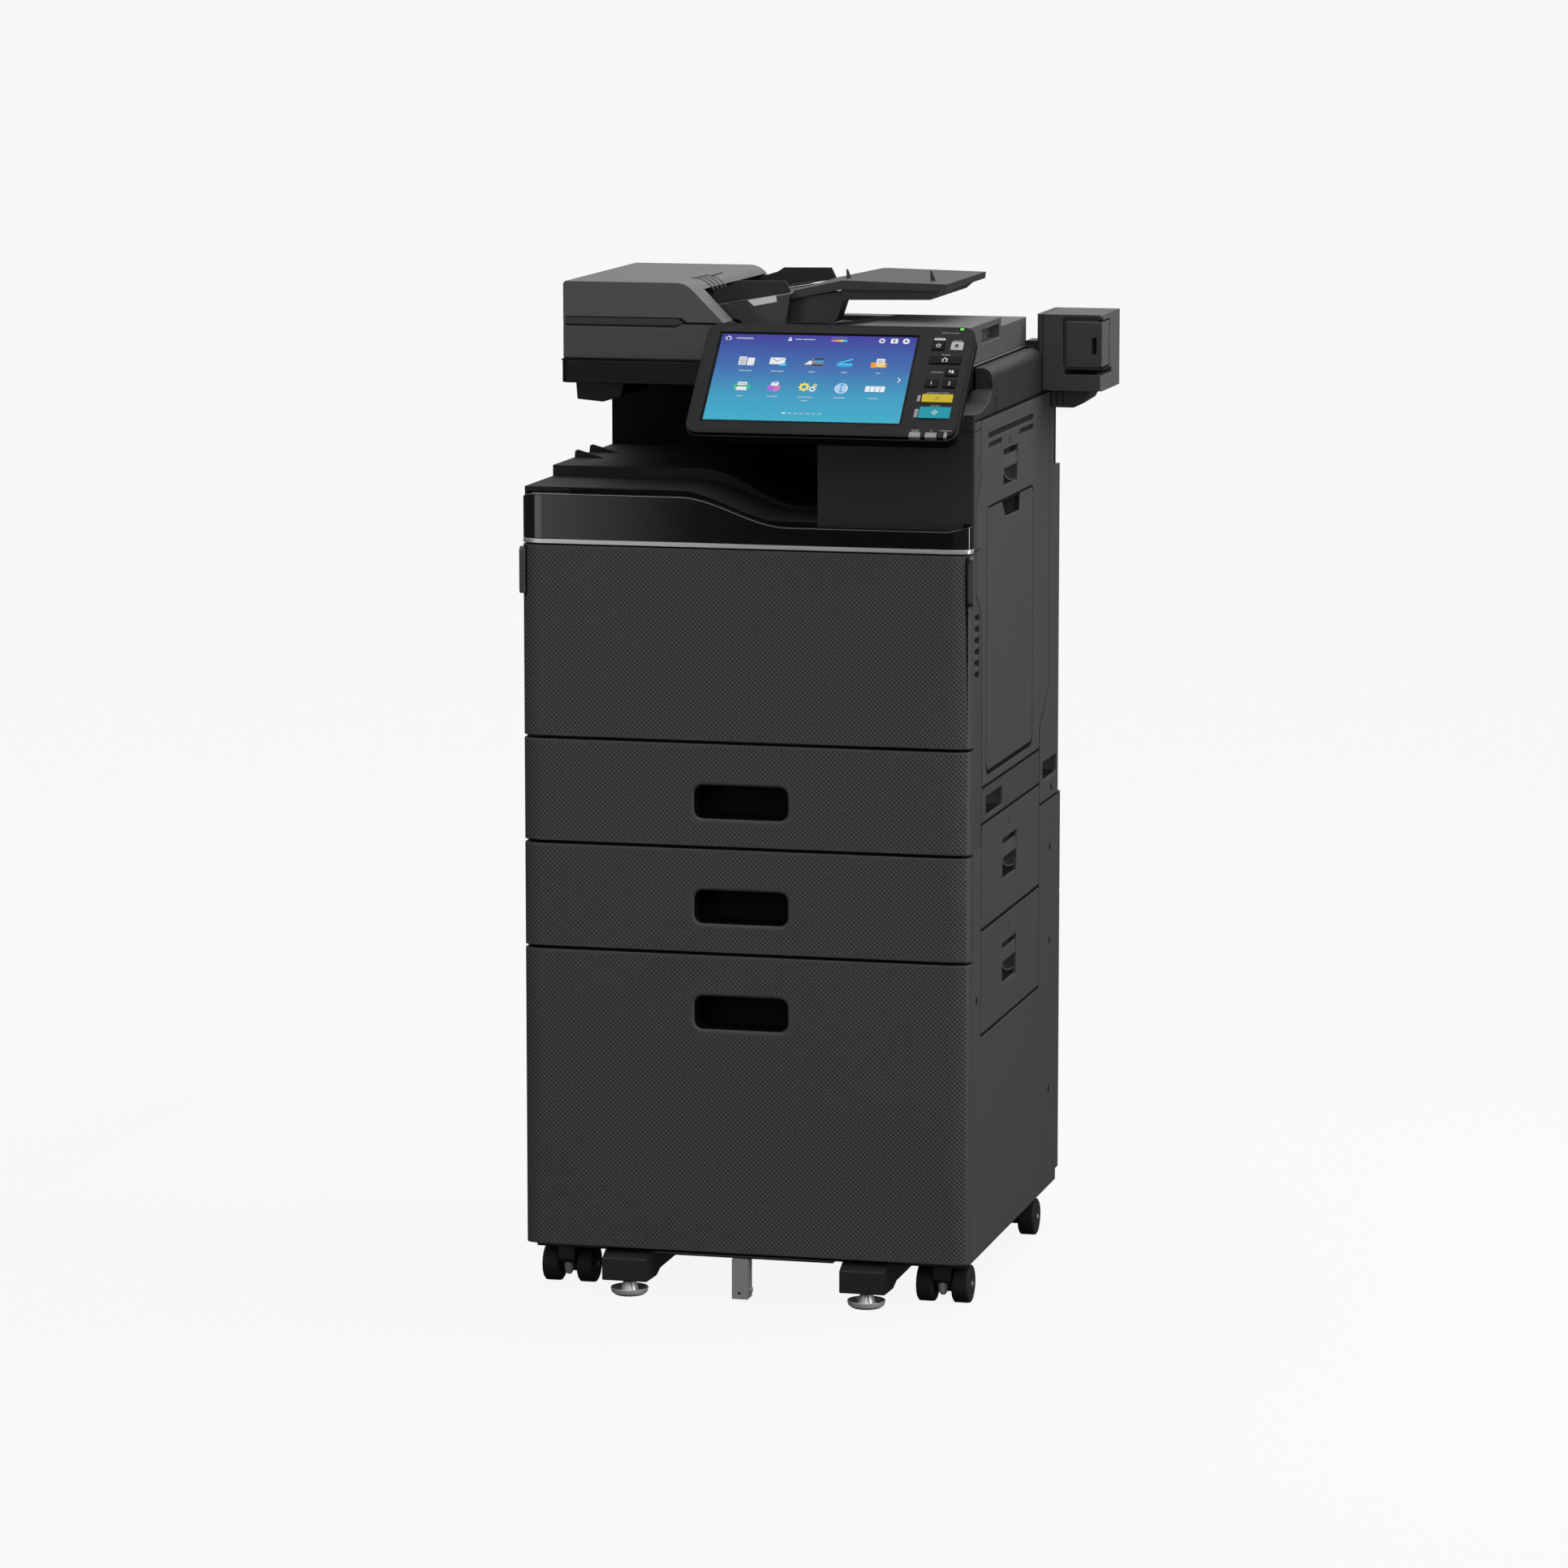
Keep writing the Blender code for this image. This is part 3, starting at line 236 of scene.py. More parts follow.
def clear_glass(name, tint, roughness):
    made, nodes, links, shader = new_material(name)
    place = nodes.new("ShaderNodeTexCoord").outputs["Object"]
    smear = noise(nodes, links, place, 14.0, 4.0, 0.6)
    gloss = calculated(nodes, links, "MULTIPLY_ADD", smear, 0.04, roughness)
    links.new(gloss, shader.inputs["Roughness"])
    links.new(blended(nodes, links, smear, scaled(tint, 0.97), tint), shader.inputs["Base Color"])
    shader.inputs["Transmission Weight"].default_value = 1.0
    return made


def glowing(name, colour, strength=1.0, mottle=0.03):
    """A lit area of a display or a lamp: dark glass that gives off its colour, slightly uneven."""
    made, nodes, links, shader = new_material(name)
    place = nodes.new("ShaderNodeTexCoord").outputs["Object"]
    grid = noise(nodes, links, place, 700.0, 1.0, 0.5)
    links.new(blended(nodes, links, grid, scaled(colour, 1 - mottle), scaled(colour, 1 + mottle)),
              shader.inputs["Emission Color"])
    set_inputs(shader, Emission_Strength=strength, Base_Color=(0.0, 0.0, 0.0, 1.0), Roughness=0.5,
               Specular_IOR_Level=0.0)
    return made


def display_sky(name):
    """The display's backdrop: indigo at the top fading to cyan at the bottom."""
    made, nodes, links, shader = new_material(name)
    place = nodes.new("ShaderNodeTexCoord").outputs["Object"]
    split = nodes.new("ShaderNodeSeparateXYZ")
    links.new(place, split.inputs[0])
    height = add_node(nodes, "ShaderNodeMapRange", **{"From_Min": -SCREEN_HEIGHT, "From_Max": 0.0})
    links.new(split.outputs["Y"], height.inputs["Value"])
    ramp = nodes.new("ShaderNodeValToRGB")
    stops = ((0.0, (0.050, 0.410, 0.570)), (0.28, (0.050, 0.330, 0.530)), (0.6, (0.052, 0.160, 0.420)),
             (0.86, (0.047, 0.085, 0.360)), (1.0, (0.050, 0.045, 0.330)))
    set_stops(ramp, stops)
    links.new(height.outputs[0], ramp.inputs["Fac"])
    links.new(ramp.outputs["Color"], shader.inputs["Emission Color"])
    set_inputs(shader, Emission_Strength=1.0, Base_Color=(0.002, 0.002, 0.002, 1.0), Roughness=0.35,
               Specular_IOR_Level=0.03)
    return made


FINISH = {
    "front": moulded("front_charcoal_smooth", (0.052, 0.054, 0.057), 0.52),
    "front_studs": embossed("front_charcoal_studs", (0.053, 0.055, 0.058), 0.56, 0.0061, 0.00045, 0.60),
    "side": moulded("side_cover_grey", grey(0.055), 0.55),
    "stapler": moulded("stapler_grey", (0.036, 0.036, 0.037), 0.44),
    # lighter copies of the stapler grey for its upward and right faces: painted light
    "stapler_top_painted_light": moulded("stapler_top_grey", (0.054, 0.055, 0.056), 0.44),
    "stapler_side_painted_light": moulded("stapler_side_grey", (0.095, 0.095, 0.096), 0.44),
    "lever": moulded("lever_grey", (0.034, 0.035, 0.037), 0.50),
    "feeder_low": moulded("feeder_base_grey", (0.074, 0.076, 0.079), 0.50),
    "scanner": moulded("scanner_black", grey(0.0045), 0.45, specular=0.20),
    "tray_top": moulded("input_tray_black", grey(0.021), 0.42, specular=0.8),
    "tower": moulded("tower_black", grey(0.0205), 0.52, specular=0.35),
    "guide": moulded("guide_black", grey(0.016), 0.50, specular=0.4),
    "ledge": moulded("ledge_grey", grey(0.035), 0.50),
    # a light grey for thin strips along edges where light catches them: painted highlight
    "edge": moulded("painted_highlight_edge", grey(0.22), 0.30, specular=0.8),
    # a lighter grey for the thin ring round the panel's edge: painted highlight
    "rim": moulded("rim_painted_highlight", (0.085, 0.086, 0.088), 0.38),
    # a darker copy of the side grey for the front column: painted shade
    "side_front_shaded": moulded("front_column_painted_shade_grey", grey(0.047), 0.55),
    # a dark copy of the side grey for the insides of vents, latch pockets, grips and the tray notch: painted shade
    "side_recess_shade": moulded("side_recess_painted_shade", grey(0.0085), 0.60, specular=0.25),
    "black": moulded("black_moulding", grey(0.010), 0.50, specular=0.4),
    "bay_black": moulded("bay_black_moulding", grey(0.006), 0.55, specular=0.3),
    "bay_dark": moulded("bay_shadow_black", grey(0.0022), 0.60, specular=0.10),
    "base": moulded("base_black", grey(0.0135), 0.50, specular=0.4),
    # black for seams and small dark parts, and for the cores, sheets and blocks that stand for the shade in holes
    # and gaps: partly painted shade
    "pocket": moulded("pocket_black", grey(0.003), 0.65, specular=0.10),
    "gloss": moulded("gloss_black", grey(0.0102), 0.10, grain=0.004, depth=0.00001, polish=0.03),
    "trim": brushed("satin_silver", (0.60, 0.60, 0.61), 0.36, "x", metal=0.60),
    "feeder": moulded("feeder_grey", (0.098, 0.101, 0.105), 0.50),
    # a lighter, less glossy copy of the feeder grey for the cover's upward faces: painted light
    "feeder_top": moulded("feeder_top_painted_light_grey", (0.103, 0.105, 0.108), 0.50, specular=0.25),
    "panel": moulded("panel_black", grey(0.0030), 0.50, specular=0.10),
    "key_black": moulded("key_black", grey(0.0020), 0.45, specular=0.05),
    "key_grey": moulded("key_grey", (0.34, 0.34, 0.35), 0.50, specular=0.10),
    "key_yellow": moulded("key_yellow", (0.46, 0.36, 0.022), 0.50, specular=0.05),
    "key_teal": moulded("key_teal", (0.012, 0.245, 0.315), 0.50, specular=0.05),
    "print_white": moulded("printed_white", grey(0.62), 0.60, specular=0.10),
    "print_dim": moulded("printed_grey", grey(0.30), 0.60, specular=0.10),
    "print_dark": moulded("printed_dark", grey(0.03), 0.60),
    "label": moulded("pale_label", grey(0.80), 0.55),
    "led_off": moulded("lamp_window_grey", grey(0.13), 0.40),
    "led_on": glowing("lamp_green", (0.25, 0.90, 0.18), 1.0),
    "chrome": brushed("chromed_steel", (0.80, 0.80, 0.81), 0.34, "z", metal=0.45),
    "steel": brushed("zinc_steel", grey(0.36), 0.45, "z", metal=0.2),
    "zinc": brushed("zinc_sheet", (0.45, 0.46, 0.46), 0.42, "x"),
    "rubber": moulded("tread_rubber", grey(0.0038), 0.75, grain=0.0016, depth=0.00012),
    "hub": moulded("wheel_hub", grey(0.028), 0.50),
    "pocket_grey": moulded("pocket_grey", grey(0.018), 0.55, specular=0.25),
    "tray": moulded("drawer_grey", (0.16, 0.165, 0.17), 0.58),
    "toner": moulded("toner_bottle", (0.030, 0.030, 0.034), 0.45),
    "drum": moulded("drum_coating", (0.02, 0.15, 0.20), 0.16, grain=0.006, depth=0.00001, coat=0.5),
    "pad": moulded("platen_white", (0.72, 0.72, 0.70), 0.70, grain=0.0020, depth=0.0001),
    "glass": clear_glass("platen_glass_clear", (0.93, 0.97, 0.96), 0.01),
    "sky": display_sky("display_backdrop"),
    "lit_white": glowing("display_white", (0.82, 0.84, 0.86)),
    "lit_pale": glowing("display_pale", (0.42, 0.52, 0.62)),
    "lit_grey": glowing("display_grey", (0.22, 0.24, 0.27)),
    "lit_dark": glowing("display_dark", (0.060, 0.065, 0.080)),
    "lit_blue": glowing("display_blue", (0.045, 0.36, 0.76)),
    "lit_cyan": glowing("display_cyan", (0.10, 0.62, 0.86)),
    "lit_orange": glowing("display_orange", (0.85, 0.33, 0.06)),
    "lit_green": glowing("display_green", (0.06, 0.55, 0.30)),
    "lit_purple": glowing("display_purple", (0.40, 0.16, 0.66)),
    "lit_yellow": glowing("display_yellow", (0.84, 0.74, 0.16)),
    "lit_pink": glowing("display_pink", (0.62, 0.20, 0.50)),
}


# ---------------------------------------------------------------- shapes
def prism(outline, axis, low, high, number=0):
    """A closed outline pushed along an axis: (y, z), (x, z) or (x, y) points for axis x, y or z."""
    place = {
        "x": lambda a, b, c: (c, a, b),
        "y": lambda a, b, c: (a, c, b),
        "z": lambda a, b, c: (a, b, c),
    }[axis]
    count = len(outline)
    points = [place(a, b, low) for a, b in outline] + [place(a, b, high) for a, b in outline]
    faces = [list(range(count)), list(range(count, 2 * count))]
    for i in range(count):
        j = (i + 1) % count
        faces.append([i, j, count + j, count + i])
    return points, faces, number


def block(x, y, z, number=0):
    return prism([(x[0], y[0]), (x[1], y[0]), (x[1], y[1]), (x[0], y[1])], "z", z[0], z[1], number)


def turned(profile, axis, centre, steps, number=0):
    """A profile of (distance along the axis, radius) points turned about the axis; its ends lie on it."""
    place = {
        "x": lambda a, r, t: (a, r * cos(t), r * sin(t)),
        "y": lambda a, r, t: (r * sin(t), a, r * cos(t)),
        "z": lambda a, r, t: (r * cos(t), r * sin(t), a),
    }[axis]
    points, faces, rings = [], [], []
    for distance, radius in profile:
        if radius == 0:
            rings.append([len(points)] * steps)
            points.append(place(distance, 0.0, 0.0))
            continue
        rings.append(list(range(len(points), len(points) + steps)))
        points += [place(distance, radius, 2 * pi * i / steps) for i in range(steps)]
    for first, second in zip(rings, rings[1:]):
        for i in range(steps):
            j = (i + 1) % steps
            faces.append(list(dict.fromkeys([first[i], first[j], second[j], second[i]])))
    return [tuple(Vector(point) + Vector(centre)) for point in points], faces, number


def ring_plate(outer, inner, axis, low, high, number=0):
    """A flat ring between two outlines that have the same number of points."""
    count = len(outer)
    points, faces, _ = prism(list(outer) + list(inner), axis, low, high)
    total = 2 * count
    faces = []
    for i in range(count):
        j = (i + 1) % count
        faces.append([i, j, count + j, count + i])
        faces.append([total + i, total + j, total + count + j, total + count + i])
        faces.append([i, j, total + j, total + i])
        faces.append([count + i, count + j, total + count + j, total + count + i])
    return points, faces, number


def arc(centre, radius, start, end, steps):
    turn = radians(end - start) / steps
    first = radians(start)
    return [
        (centre[0] + radius * cos(first + turn * i), centre[1] + radius * sin(first + turn * i))
        for i in range(steps + 1)
    ]


def rounded(low, high, radius, steps=6):
    """A rectangle with round corners."""
    (a0, b0), (a1, b1) = low, high
    centres = ((a1 - radius, b1 - radius), (a0 + radius, b1 - radius),
               (a0 + radius, b0 + radius), (a1 - radius, b0 + radius))
    outline = []
    for quarter, centre in enumerate(centres):
        outline += arc(centre, radius, 90 * quarter, 90 * quarter + 90, steps)
    return outline


def circle(centre, radius, steps=24):
    return arc(centre, radius, 0, 360, steps)[:-1]


def plate(outline, holes, axis, low, high, edge, number=0):
    """A plate with holes and round edges: (y, z), (x, z) or (x, y) outlines for axis x, y or z."""
    curve = bpy.data.curves.new("plate", "CURVE")
    curve.dimensions = "2D"
    curve.fill_mode = "BOTH"
    curve.extrude = (high - low) / 2 - edge
    curve.bevel_depth = edge
    curve.bevel_resolution = 1
    curve.offset = -edge
    for ring in (outline, *holes):
        spline = curve.splines.new("POLY")
        spline.points.add(len(ring) - 1)
        for point, (a, b) in zip(spline.points, ring):
            point.co = (a, b, 0.0, 1.0)
        spline.use_cyclic_u = True
    carrier = linked(bpy.data.objects.new("plate", curve))
    bpy.context.view_layer.update()
    mesh = bpy.data.meshes.new_from_object(carrier)
    shape = bmesh.new()
    shape.from_mesh(mesh)
    bmesh.ops.remove_doubles(shape, verts=shape.verts, dist=2e-6)
    shape.verts.index_update()
    middle = (low + high) / 2
    place = {
        "x": lambda a, b, c: (c + middle, a, b),
        "y": lambda a, b, c: (a, middle - c, b),
        "z": lambda a, b, c: (a, b, c + middle),
    }[axis]
    points = [place(*vert.co) for vert in shape.verts]
    faces = [[vert.index for vert in face.verts] for face in shape.faces]
    shape.free()
    bpy.data.objects.remove(carrier)
    bpy.data.curves.remove(curve)
    bpy.data.meshes.remove(mesh)
    return points, faces, number


# ---------------------------------------------------------------- pieces
def soften(made, width, segments=2, angle=30, clamp=True):
    """Rounds the edges by width, and keeps the flat faces flat in the shading."""
    made.data.shade_smooth()
    if width:
        edges = made.modifiers.new("edges", "BEVEL")
        edges.width = width
        edges.segments = segments
        edges.limit_method = "ANGLE"
        edges.angle_limit = radians(angle)
        edges.use_clamp_overlap = clamp
        edges.miter_outer = "MITER_ARC"
    else:
        made.data.set_sharp_from_angle(angle=radians(angle))
    shading = made.modifiers.new("shading", "WEIGHTED_NORMAL")
    shading.keep_sharp = True
    shading.weight = 100


def add_piece(name, mesh, place, body, replaces=()):
    """A piece that rides on a body and takes the place of CAD nodes."""
    made = linked(bpy.data.objects.new(name, mesh))
    made.matrix_world = place
    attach(made, body)
    if replaces:
        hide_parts(*replaces)
    return made


def mesh_of(name, shapes, finishes):
    """One mesh from closed shapes, with its faces turned outwards."""
    points, faces, numbers = [], [], []
    for more_points, more_faces, number in shapes:
        start = len(points)
        points += more_points
        faces += [[start + i for i in face] for face in more_faces]
        numbers += [number] * len(more_faces)
    mesh = bpy.data.meshes.new(name)
    mesh.from_pydata(points, [], faces)
    mesh.polygons.foreach_set("material_index", numbers)
    for finish in finishes:
        mesh.materials.append(FINISH[finish])
    shape = bmesh.new()
    shape.from_mesh(mesh)
    bmesh.ops.recalc_face_normals(shape, faces=shape.faces)
    shape.to_mesh(mesh)
    shape.free()
    return mesh


def piece(name, shapes, finishes, body, place=MACHINE, bevel=0.0, segments=2, replaces=(),
          angle=30):
    """A new piece from closed shapes; each shape's number picks one of the finishes."""
    finishes = [finishes] if isinstance(finishes, str) else finishes
    made = add_piece(name, mesh_of(name, shapes, finishes), place, body, replaces)
    soften(made, bevel, segments, angle)
    return made


def cad_copy(node):
    """A clean copy of a CAD node's mesh in machine coordinates: flat faces joined back into whole ones."""
    mesh = frame["nodes"][node].data.copy()
    mesh.transform(MACHINE.inverted())
    mesh.materials.clear()
    shape = bmesh.new()
    shape.from_mesh(mesh)
    bmesh.ops.remove_doubles(shape, verts=shape.verts, dist=1e-5)
    bmesh.ops.dissolve_limit(shape, angle_limit=radians(0.6), verts=shape.verts, edges=shape.edges)
    bmesh.ops.recalc_face_normals(shape, faces=shape.faces)
    return mesh, shape


def body_of(node):
    return frame["nodes"][node]["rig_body"]


def refined(node, finish, bevel, segments=2, paint=None, finishes=(), clamp=True):
    """A CAD node's shape with rounded edges and its real finish. paint picks a finish number for a face."""
    mesh, shape = cad_copy(node)
    shape.faces.ensure_lookup_table()
    if paint:
        for face in shape.faces:
            face.material_index = paint(face.calc_center_median(), face.normal)
    shape.to_mesh(mesh)
    shape.free()
    for name in (finish, *finishes):
        mesh.materials.append(FINISH[name])
    made = add_piece(f"{node}_skin", mesh, MACHINE, body_of(node), (node,))
    soften(made, bevel, segments, clamp=clamp)
    return made


# ---------------------------------------------------------------- CAD shapes with fine edges
PLAIN = {
    "base_frame": ("base", 0.0012), "stabiliser_bracket": ("steel", 0.0006),
    "pedestal_cabinet": ("side", 0.0010), "paper_feed_module": ("side", 0.0008),
    "engine_frame": ("side", 0.0008), "rear_cover": ("side", 0.0010),
    "gloss_fascia": ("gloss", 0.0008), "silver_trim": ("trim", 0.0006), "output_tray": ("bay_black", 0.0010),
    "toner_cartridge": ("toner", 0.0008), "photoconductor_drum": ("drum", 0.0005),
    "scanner_housing": ("scanner", 0.0010), "platen_glass": ("glass", 0.0004),
    "scan_carriage": ("zinc", 0.0006),
    "upper_drawer_tray": ("tray", 0.0006), "lower_drawer_tray": ("tray", 0.0006),
    "feeder_drawer_bin": ("tray", 0.0006), "lift_plate": ("zinc", 0.0006),
    "feeder_base": ("feeder_low", 0.0010),
    "feeder_input_tray": ("tray_top", 0.0008), "guide_front": ("guide", 0.0007),
    "guide_rear": ("guide", 0.0007),
    "feed_roller": ("rubber", 0.0005), "panel_housing": ("panel", 0.0016),
    "levelling_foot_left": ("chrome", 0.0005), "levelling_foot_right": ("chrome", 0.0005),
}
for end in ("front", "rear"):
    for side in ("left", "right"):
        PLAIN[f"caster_fork_{end}_{side}"] = ("black", 0.0010)
        PLAIN[f"caster_wheels_{end}_{side}"] = ("rubber", 0.0010)


def build_plain_nodes():
    for node, (finish, bevel) in PLAIN.items():
        refined(node, finish, bevel)


# ---------------------------------------------------------------- fronts
HANDLE_RIM = 0.0045
STUD_MARGIN = 0.0030
GRIP_SHARE = 0.55       # how far the cover's finger grips reach out, of the CAD's reach


def build_front(node):
    """A drawer front or the front cover: studded face, smooth border and edges, black handle pocket."""
    mesh, shape = cad_copy(node)
    low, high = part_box(node)
    face_y = low.y - MACHINE_Y
    shape.edges.ensure_lookup_table()
    for vert in shape.verts:
        beyond = abs(vert.co.x) - BODY_X
        if beyond > 0.0002:
            vert.co.x = (BODY_X + GRIP_SHARE * beyond) * (1 if vert.co.x > 0 else -1)

    def on_face(vert):
        return abs(vert.co.y - face_y) < 1e-5

    rim = [
        edge for edge in shape.edges
        if all(on_face(v) and abs(v.co.x) < 0.2 for v in edge.verts)
        and all(low.z + 0.004 < v.co.z < high.z - 0.004 for v in edge.verts)
        and edge.is_manifold and edge.calc_face_angle() > radians(60)
    ]
    if rim:
        bmesh.ops.bevel(shape, geom=rim, offset=HANDLE_RIM, segments=4, profile=0.6, affect="EDGES",
                        clamp_overlap=False)
    edges = [
        edge for edge in shape.edges
        if edge.is_manifold and edge.calc_face_angle() > radians(60)
        and all(v.co.y < 0.0215 for v in edge.verts)
        and any(abs(v.co.z - z) < 1e-5 for v in edge.verts for z in (low.z, high.z))
    ]
    bmesh.ops.bevel(shape, geom=edges, offset=0.0012, segments=2, profile=0.7, affect="EDGES",
                    clamp_overlap=False)
    flat = [
        face for face in shape.faces
        if face.normal.y < -0.55 and abs(face.normal.z) < 0.05 and abs(face.calc_center_median().x) < BODY_X
        and face.calc_center_median().y < face_y + 0.012 and face.calc_area() > 0.0002
    ]
    bmesh.ops.inset_region(shape, faces=flat, thickness=STUD_MARGIN, use_even_offset=True, use_boundary=True)
    for face in shape.faces:
        centre = face.calc_center_median()
        inside = abs(centre.x) < 0.08 and centre.y > HANDLE_RIM * 0.6 and centre.z < high.z - 0.02
        face.material_index = 2 if inside and node != "front_cover" else 0
    for face in flat:
        face.material_index = 1
    shape.to_mesh(mesh)
    shape.free()
    for name in ("front", "front_studs", "pocket"):
        mesh.materials.append(FINISH[name])
    made = add_piece(f"{node}_skin", mesh, MACHINE, body_of(node), (node,))
    soften(made, 0.0, angle=40)


def build_fronts():
    for node in ("feeder_drawer_front", "lower_drawer_front", "upper_drawer_front", "front_cover"):
        build_front(node)


# ---------------------------------------------------------------- right side
SIDE_TOP_Z = 1.1365
EDGE = 0.0005
FACE_X = BODY_X - 0.0055        # back of the outer skin of the doors and columns
GAP_SHADE_X = BODY_X - 0.0002        # face of the black sheets in the gaps, painted shade
SEAM_X = (BODY_X - 0.0020, BODY_X + 0.0001)     # a seam line drawn on the columns
CORE_X = 0.2790                 # inner end of the columns' cores


def shrunk(outline, amount):
    """An outline moved inwards by an amount, for outlines that run either way round."""
    area = sum(a[0] * b[1] - b[0] * a[1] for a, b in zip(outline, outline[1:] + outline[:1]))
    turn = 1 if area > 0 else -1
    result = []
    for before, point, after in zip(outline[-1:] + outline[:-1], outline, outline[1:] + outline[:1]):
        first = Vector((point[0] - before[0], point[1] - before[1])).normalized()
        second = Vector((after[0] - point[0], after[1] - point[1])).normalized()
        inward = Vector((-first.y - second.y, first.x + second.x)) * turn
        inward = inward / max(inward.length_squared, 0.5) * 2
        result.append((point[0] + inward.x * amount, point[1] + inward.y * amount))
    return result


def box_yz(y0, y1, z0, z1):
    return [(y0, z0), (y1, z0), (y1, z1), (y0, z1)]


SIDE_DOOR = [
    (0.0755, 0.6685), (0.4335, 0.6685), (0.4335, 0.6960), (0.4920, 0.7410), (0.4920, SIDE_TOP_Z - 0.003),
    (0.4890, SIDE_TOP_Z), (0.0665, SIDE_TOP_Z), (0.0625, SIDE_TOP_Z - 0.004), (0.0625, 1.0650),
    (0.0345, 1.0290),
    (0.0345, 0.9205), (0.0665, 0.8915),
]
FRONT_COLUMN = [
    (0.0235, 0.5926), (0.0705, 0.5926), (0.0705, 0.6225), (0.4335, 0.6225), (0.4335, 0.6655),
    (0.0735, 0.6655), (0.0645, 0.8908), (0.0325, 0.9197), (0.0325, 1.0298), (0.0605, 1.0658),
    (0.0605, SIDE_TOP_Z), (0.0235, SIDE_TOP_Z),
]
REAR_COLUMN = [
    (0.4370, 0.5926), (0.5595, 0.5926), (0.5595, 1.0350), (0.5315, 1.0350), (0.5315, 1.1280),
    (0.5595, 1.1310),
    (0.5595, SIDE_TOP_Z), (0.4940, SIDE_TOP_Z), (0.4940, 0.7402), (0.4370, 0.6955),
]


def latch_pieces(name, y, top, body, door_body):
    """A latch pocket's inside painted dark as painted shade, with its curved scoop, and the paddle that swings in
    it.
    """
    low, paddle_low, paddle_top = top - 0.0470, top - 0.0250, top - 0.0085
    # the pocket's inside takes the dark copy of the side grey: painted shade
    pocket_shade = block((0.2822, FACE_X + 0.0006), (y[0] - 0.0005, y[1] + 0.0005), (low - 0.0005, top + 0.0005))
    # the black block at the pocket's top corner: painted shade
    corner = block((0.2822, FACE_X + 0.0012), (y[1] - 0.0240, y[1] + 0.0005),
                   (paddle_top - 0.0010, top + 0.0005), 1)
    scoop = []
    for a in range(0, 91, 10):
        scoop.append((y[0] + 0.011 + 0.077 * (1 - cos(radians(a))),
                      low + 0.0005 + 0.0210 * (1 - sin(radians(a)))))
    inner = [(a + 0.0050, b + 0.0010) for a, b in reversed(scoop)]
    ridge = prism(scoop + inner, "x", FACE_X - 0.0005, BODY_X - 0.0030, 2)
    shade = prism([(y[0] - 0.0005, low - 0.0005), (scoop[-1][0], low - 0.0005)] + scoop[::-1]
                  + [(scoop[0][0], paddle_low), (y[0] - 0.0005, paddle_low)], "x", FACE_X - 0.0005,
                  FACE_X + 0.0012, 1)
    piece(f"{name}_lining", [pocket_shade, corner, ridge, shade], ["side_recess_shade", "pocket", "side"], door_body)
    paddle = [(BODY_X - 0.0050, paddle_top - 0.0005), (BODY_X - 0.0012, paddle_top),
              (BODY_X - 0.0004, paddle_low),
              (BODY_X - 0.0026, paddle_low - 0.0010), (BODY_X - 0.0052, paddle_low + 0.006)]
    piece(f"{name}_paddle", [prism(paddle, "y", y[0] + 0.0012, y[1] - 0.0012)], "side", body, bevel=0.0005,
          replaces=(name,))


def door_dashes(y, zs):
    return [box_yz(y, y + 0.016, z, z + 0.0014) for z in zs]


def build_side_door():
    vents = [box_yz(0.106, 0.385, 1.109, 1.117), box_yz(0.106, 0.188, 1.097, 1.104),
             box_yz(0.295, 0.385, 1.097, 1.104)]
    dashes = door_dashes(0.232, (1.0920, 1.0960, 1.1000))
    pocket = box_yz(0.1980, 0.2860, 1.0400, 1.0870)
    opening = rounded((0.0975, 0.6800), (0.3885, 1.0240), 0.0145)
    outline = shrunk(SIDE_DOOR, 0.0006)
    skin = plate(outline, [*vents, *dashes, pocket, opening], "x", FACE_X, BODY_X, EDGE)
    # the door's core is black: painted shade that shows through its holes and gaps
    core = prism(shrunk(SIDE_DOOR, 0.0014), "x", 0.2806, FACE_X + 0.0002, 1)
    # the vent floors take the dark copy of the side grey: painted shade
    vent_shades = [prism(shrunk(vent, -0.0005), "x", FACE_X, BODY_X - 0.0024, 2) for vent in vents]
    # a black ring in the gap round the bypass tray: painted shade
    seal = plate(rounded((0.0965, 0.6790), (0.3895, 1.0250), 0.0150),
                 [rounded((0.1008, 0.6868), (0.3852, 1.0202), 0.0125)],
                 "x", FACE_X - 0.0002, GAP_SHADE_X, 0.0001, 1)
    piece("side_door_skin", [skin, core, seal, *vent_shades], ["side", "pocket", "side_recess_shade"],
          body_of("side_door"),
          replaces=("side_door",), angle=50)
    latch_pieces("side_door_latch", (0.1980, 0.2860), 1.0870, body_of("side_door_latch"),
                 body_of("side_door"))

    tray = rounded((0.1000, 0.6860), (0.3860, 1.0210), 0.0130)
    notch = [(0.1900, 1.0205), (0.2130, 0.9992), (0.3000, 0.9985), (0.3030, 1.0205)]
    top = [point for point in tray if point[1] < 1.0209 or not 0.15 < point[0] < 0.33]
    low_points = [point for point in top if point[1] < 0.9]
    left = [point for point in top if point[1] >= 0.9 and point[0] < 0.24]
    right = [point for point in top if point[1] >= 0.9 and point[0] >= 0.24]
    outline = right + [(0.3060, 1.0210)] + notch[::-1] + [(0.1870, 1.0210)] + left + low_points
    # the notch's wall takes the dark copy of the side grey: painted shade
    wall = prism(box_yz(0.2990, 0.3040, 0.9990, 1.0200), "x", 0.2875, BODY_X - 0.0012, 2)
    # the sheet behind the tray is black: painted shade in the gap round it
    piece("bypass_tray_skin", [plate(outline, [], "x", 0.2885, BODY_X, EDGE),
                               prism(shrunk(outline, 0.0015), "x", 0.2864, 0.2888, 1), wall],
          ["side", "pocket", "side_recess_shade"], body_of("bypass_tray"),
          replaces=("bypass_tray",), angle=50)


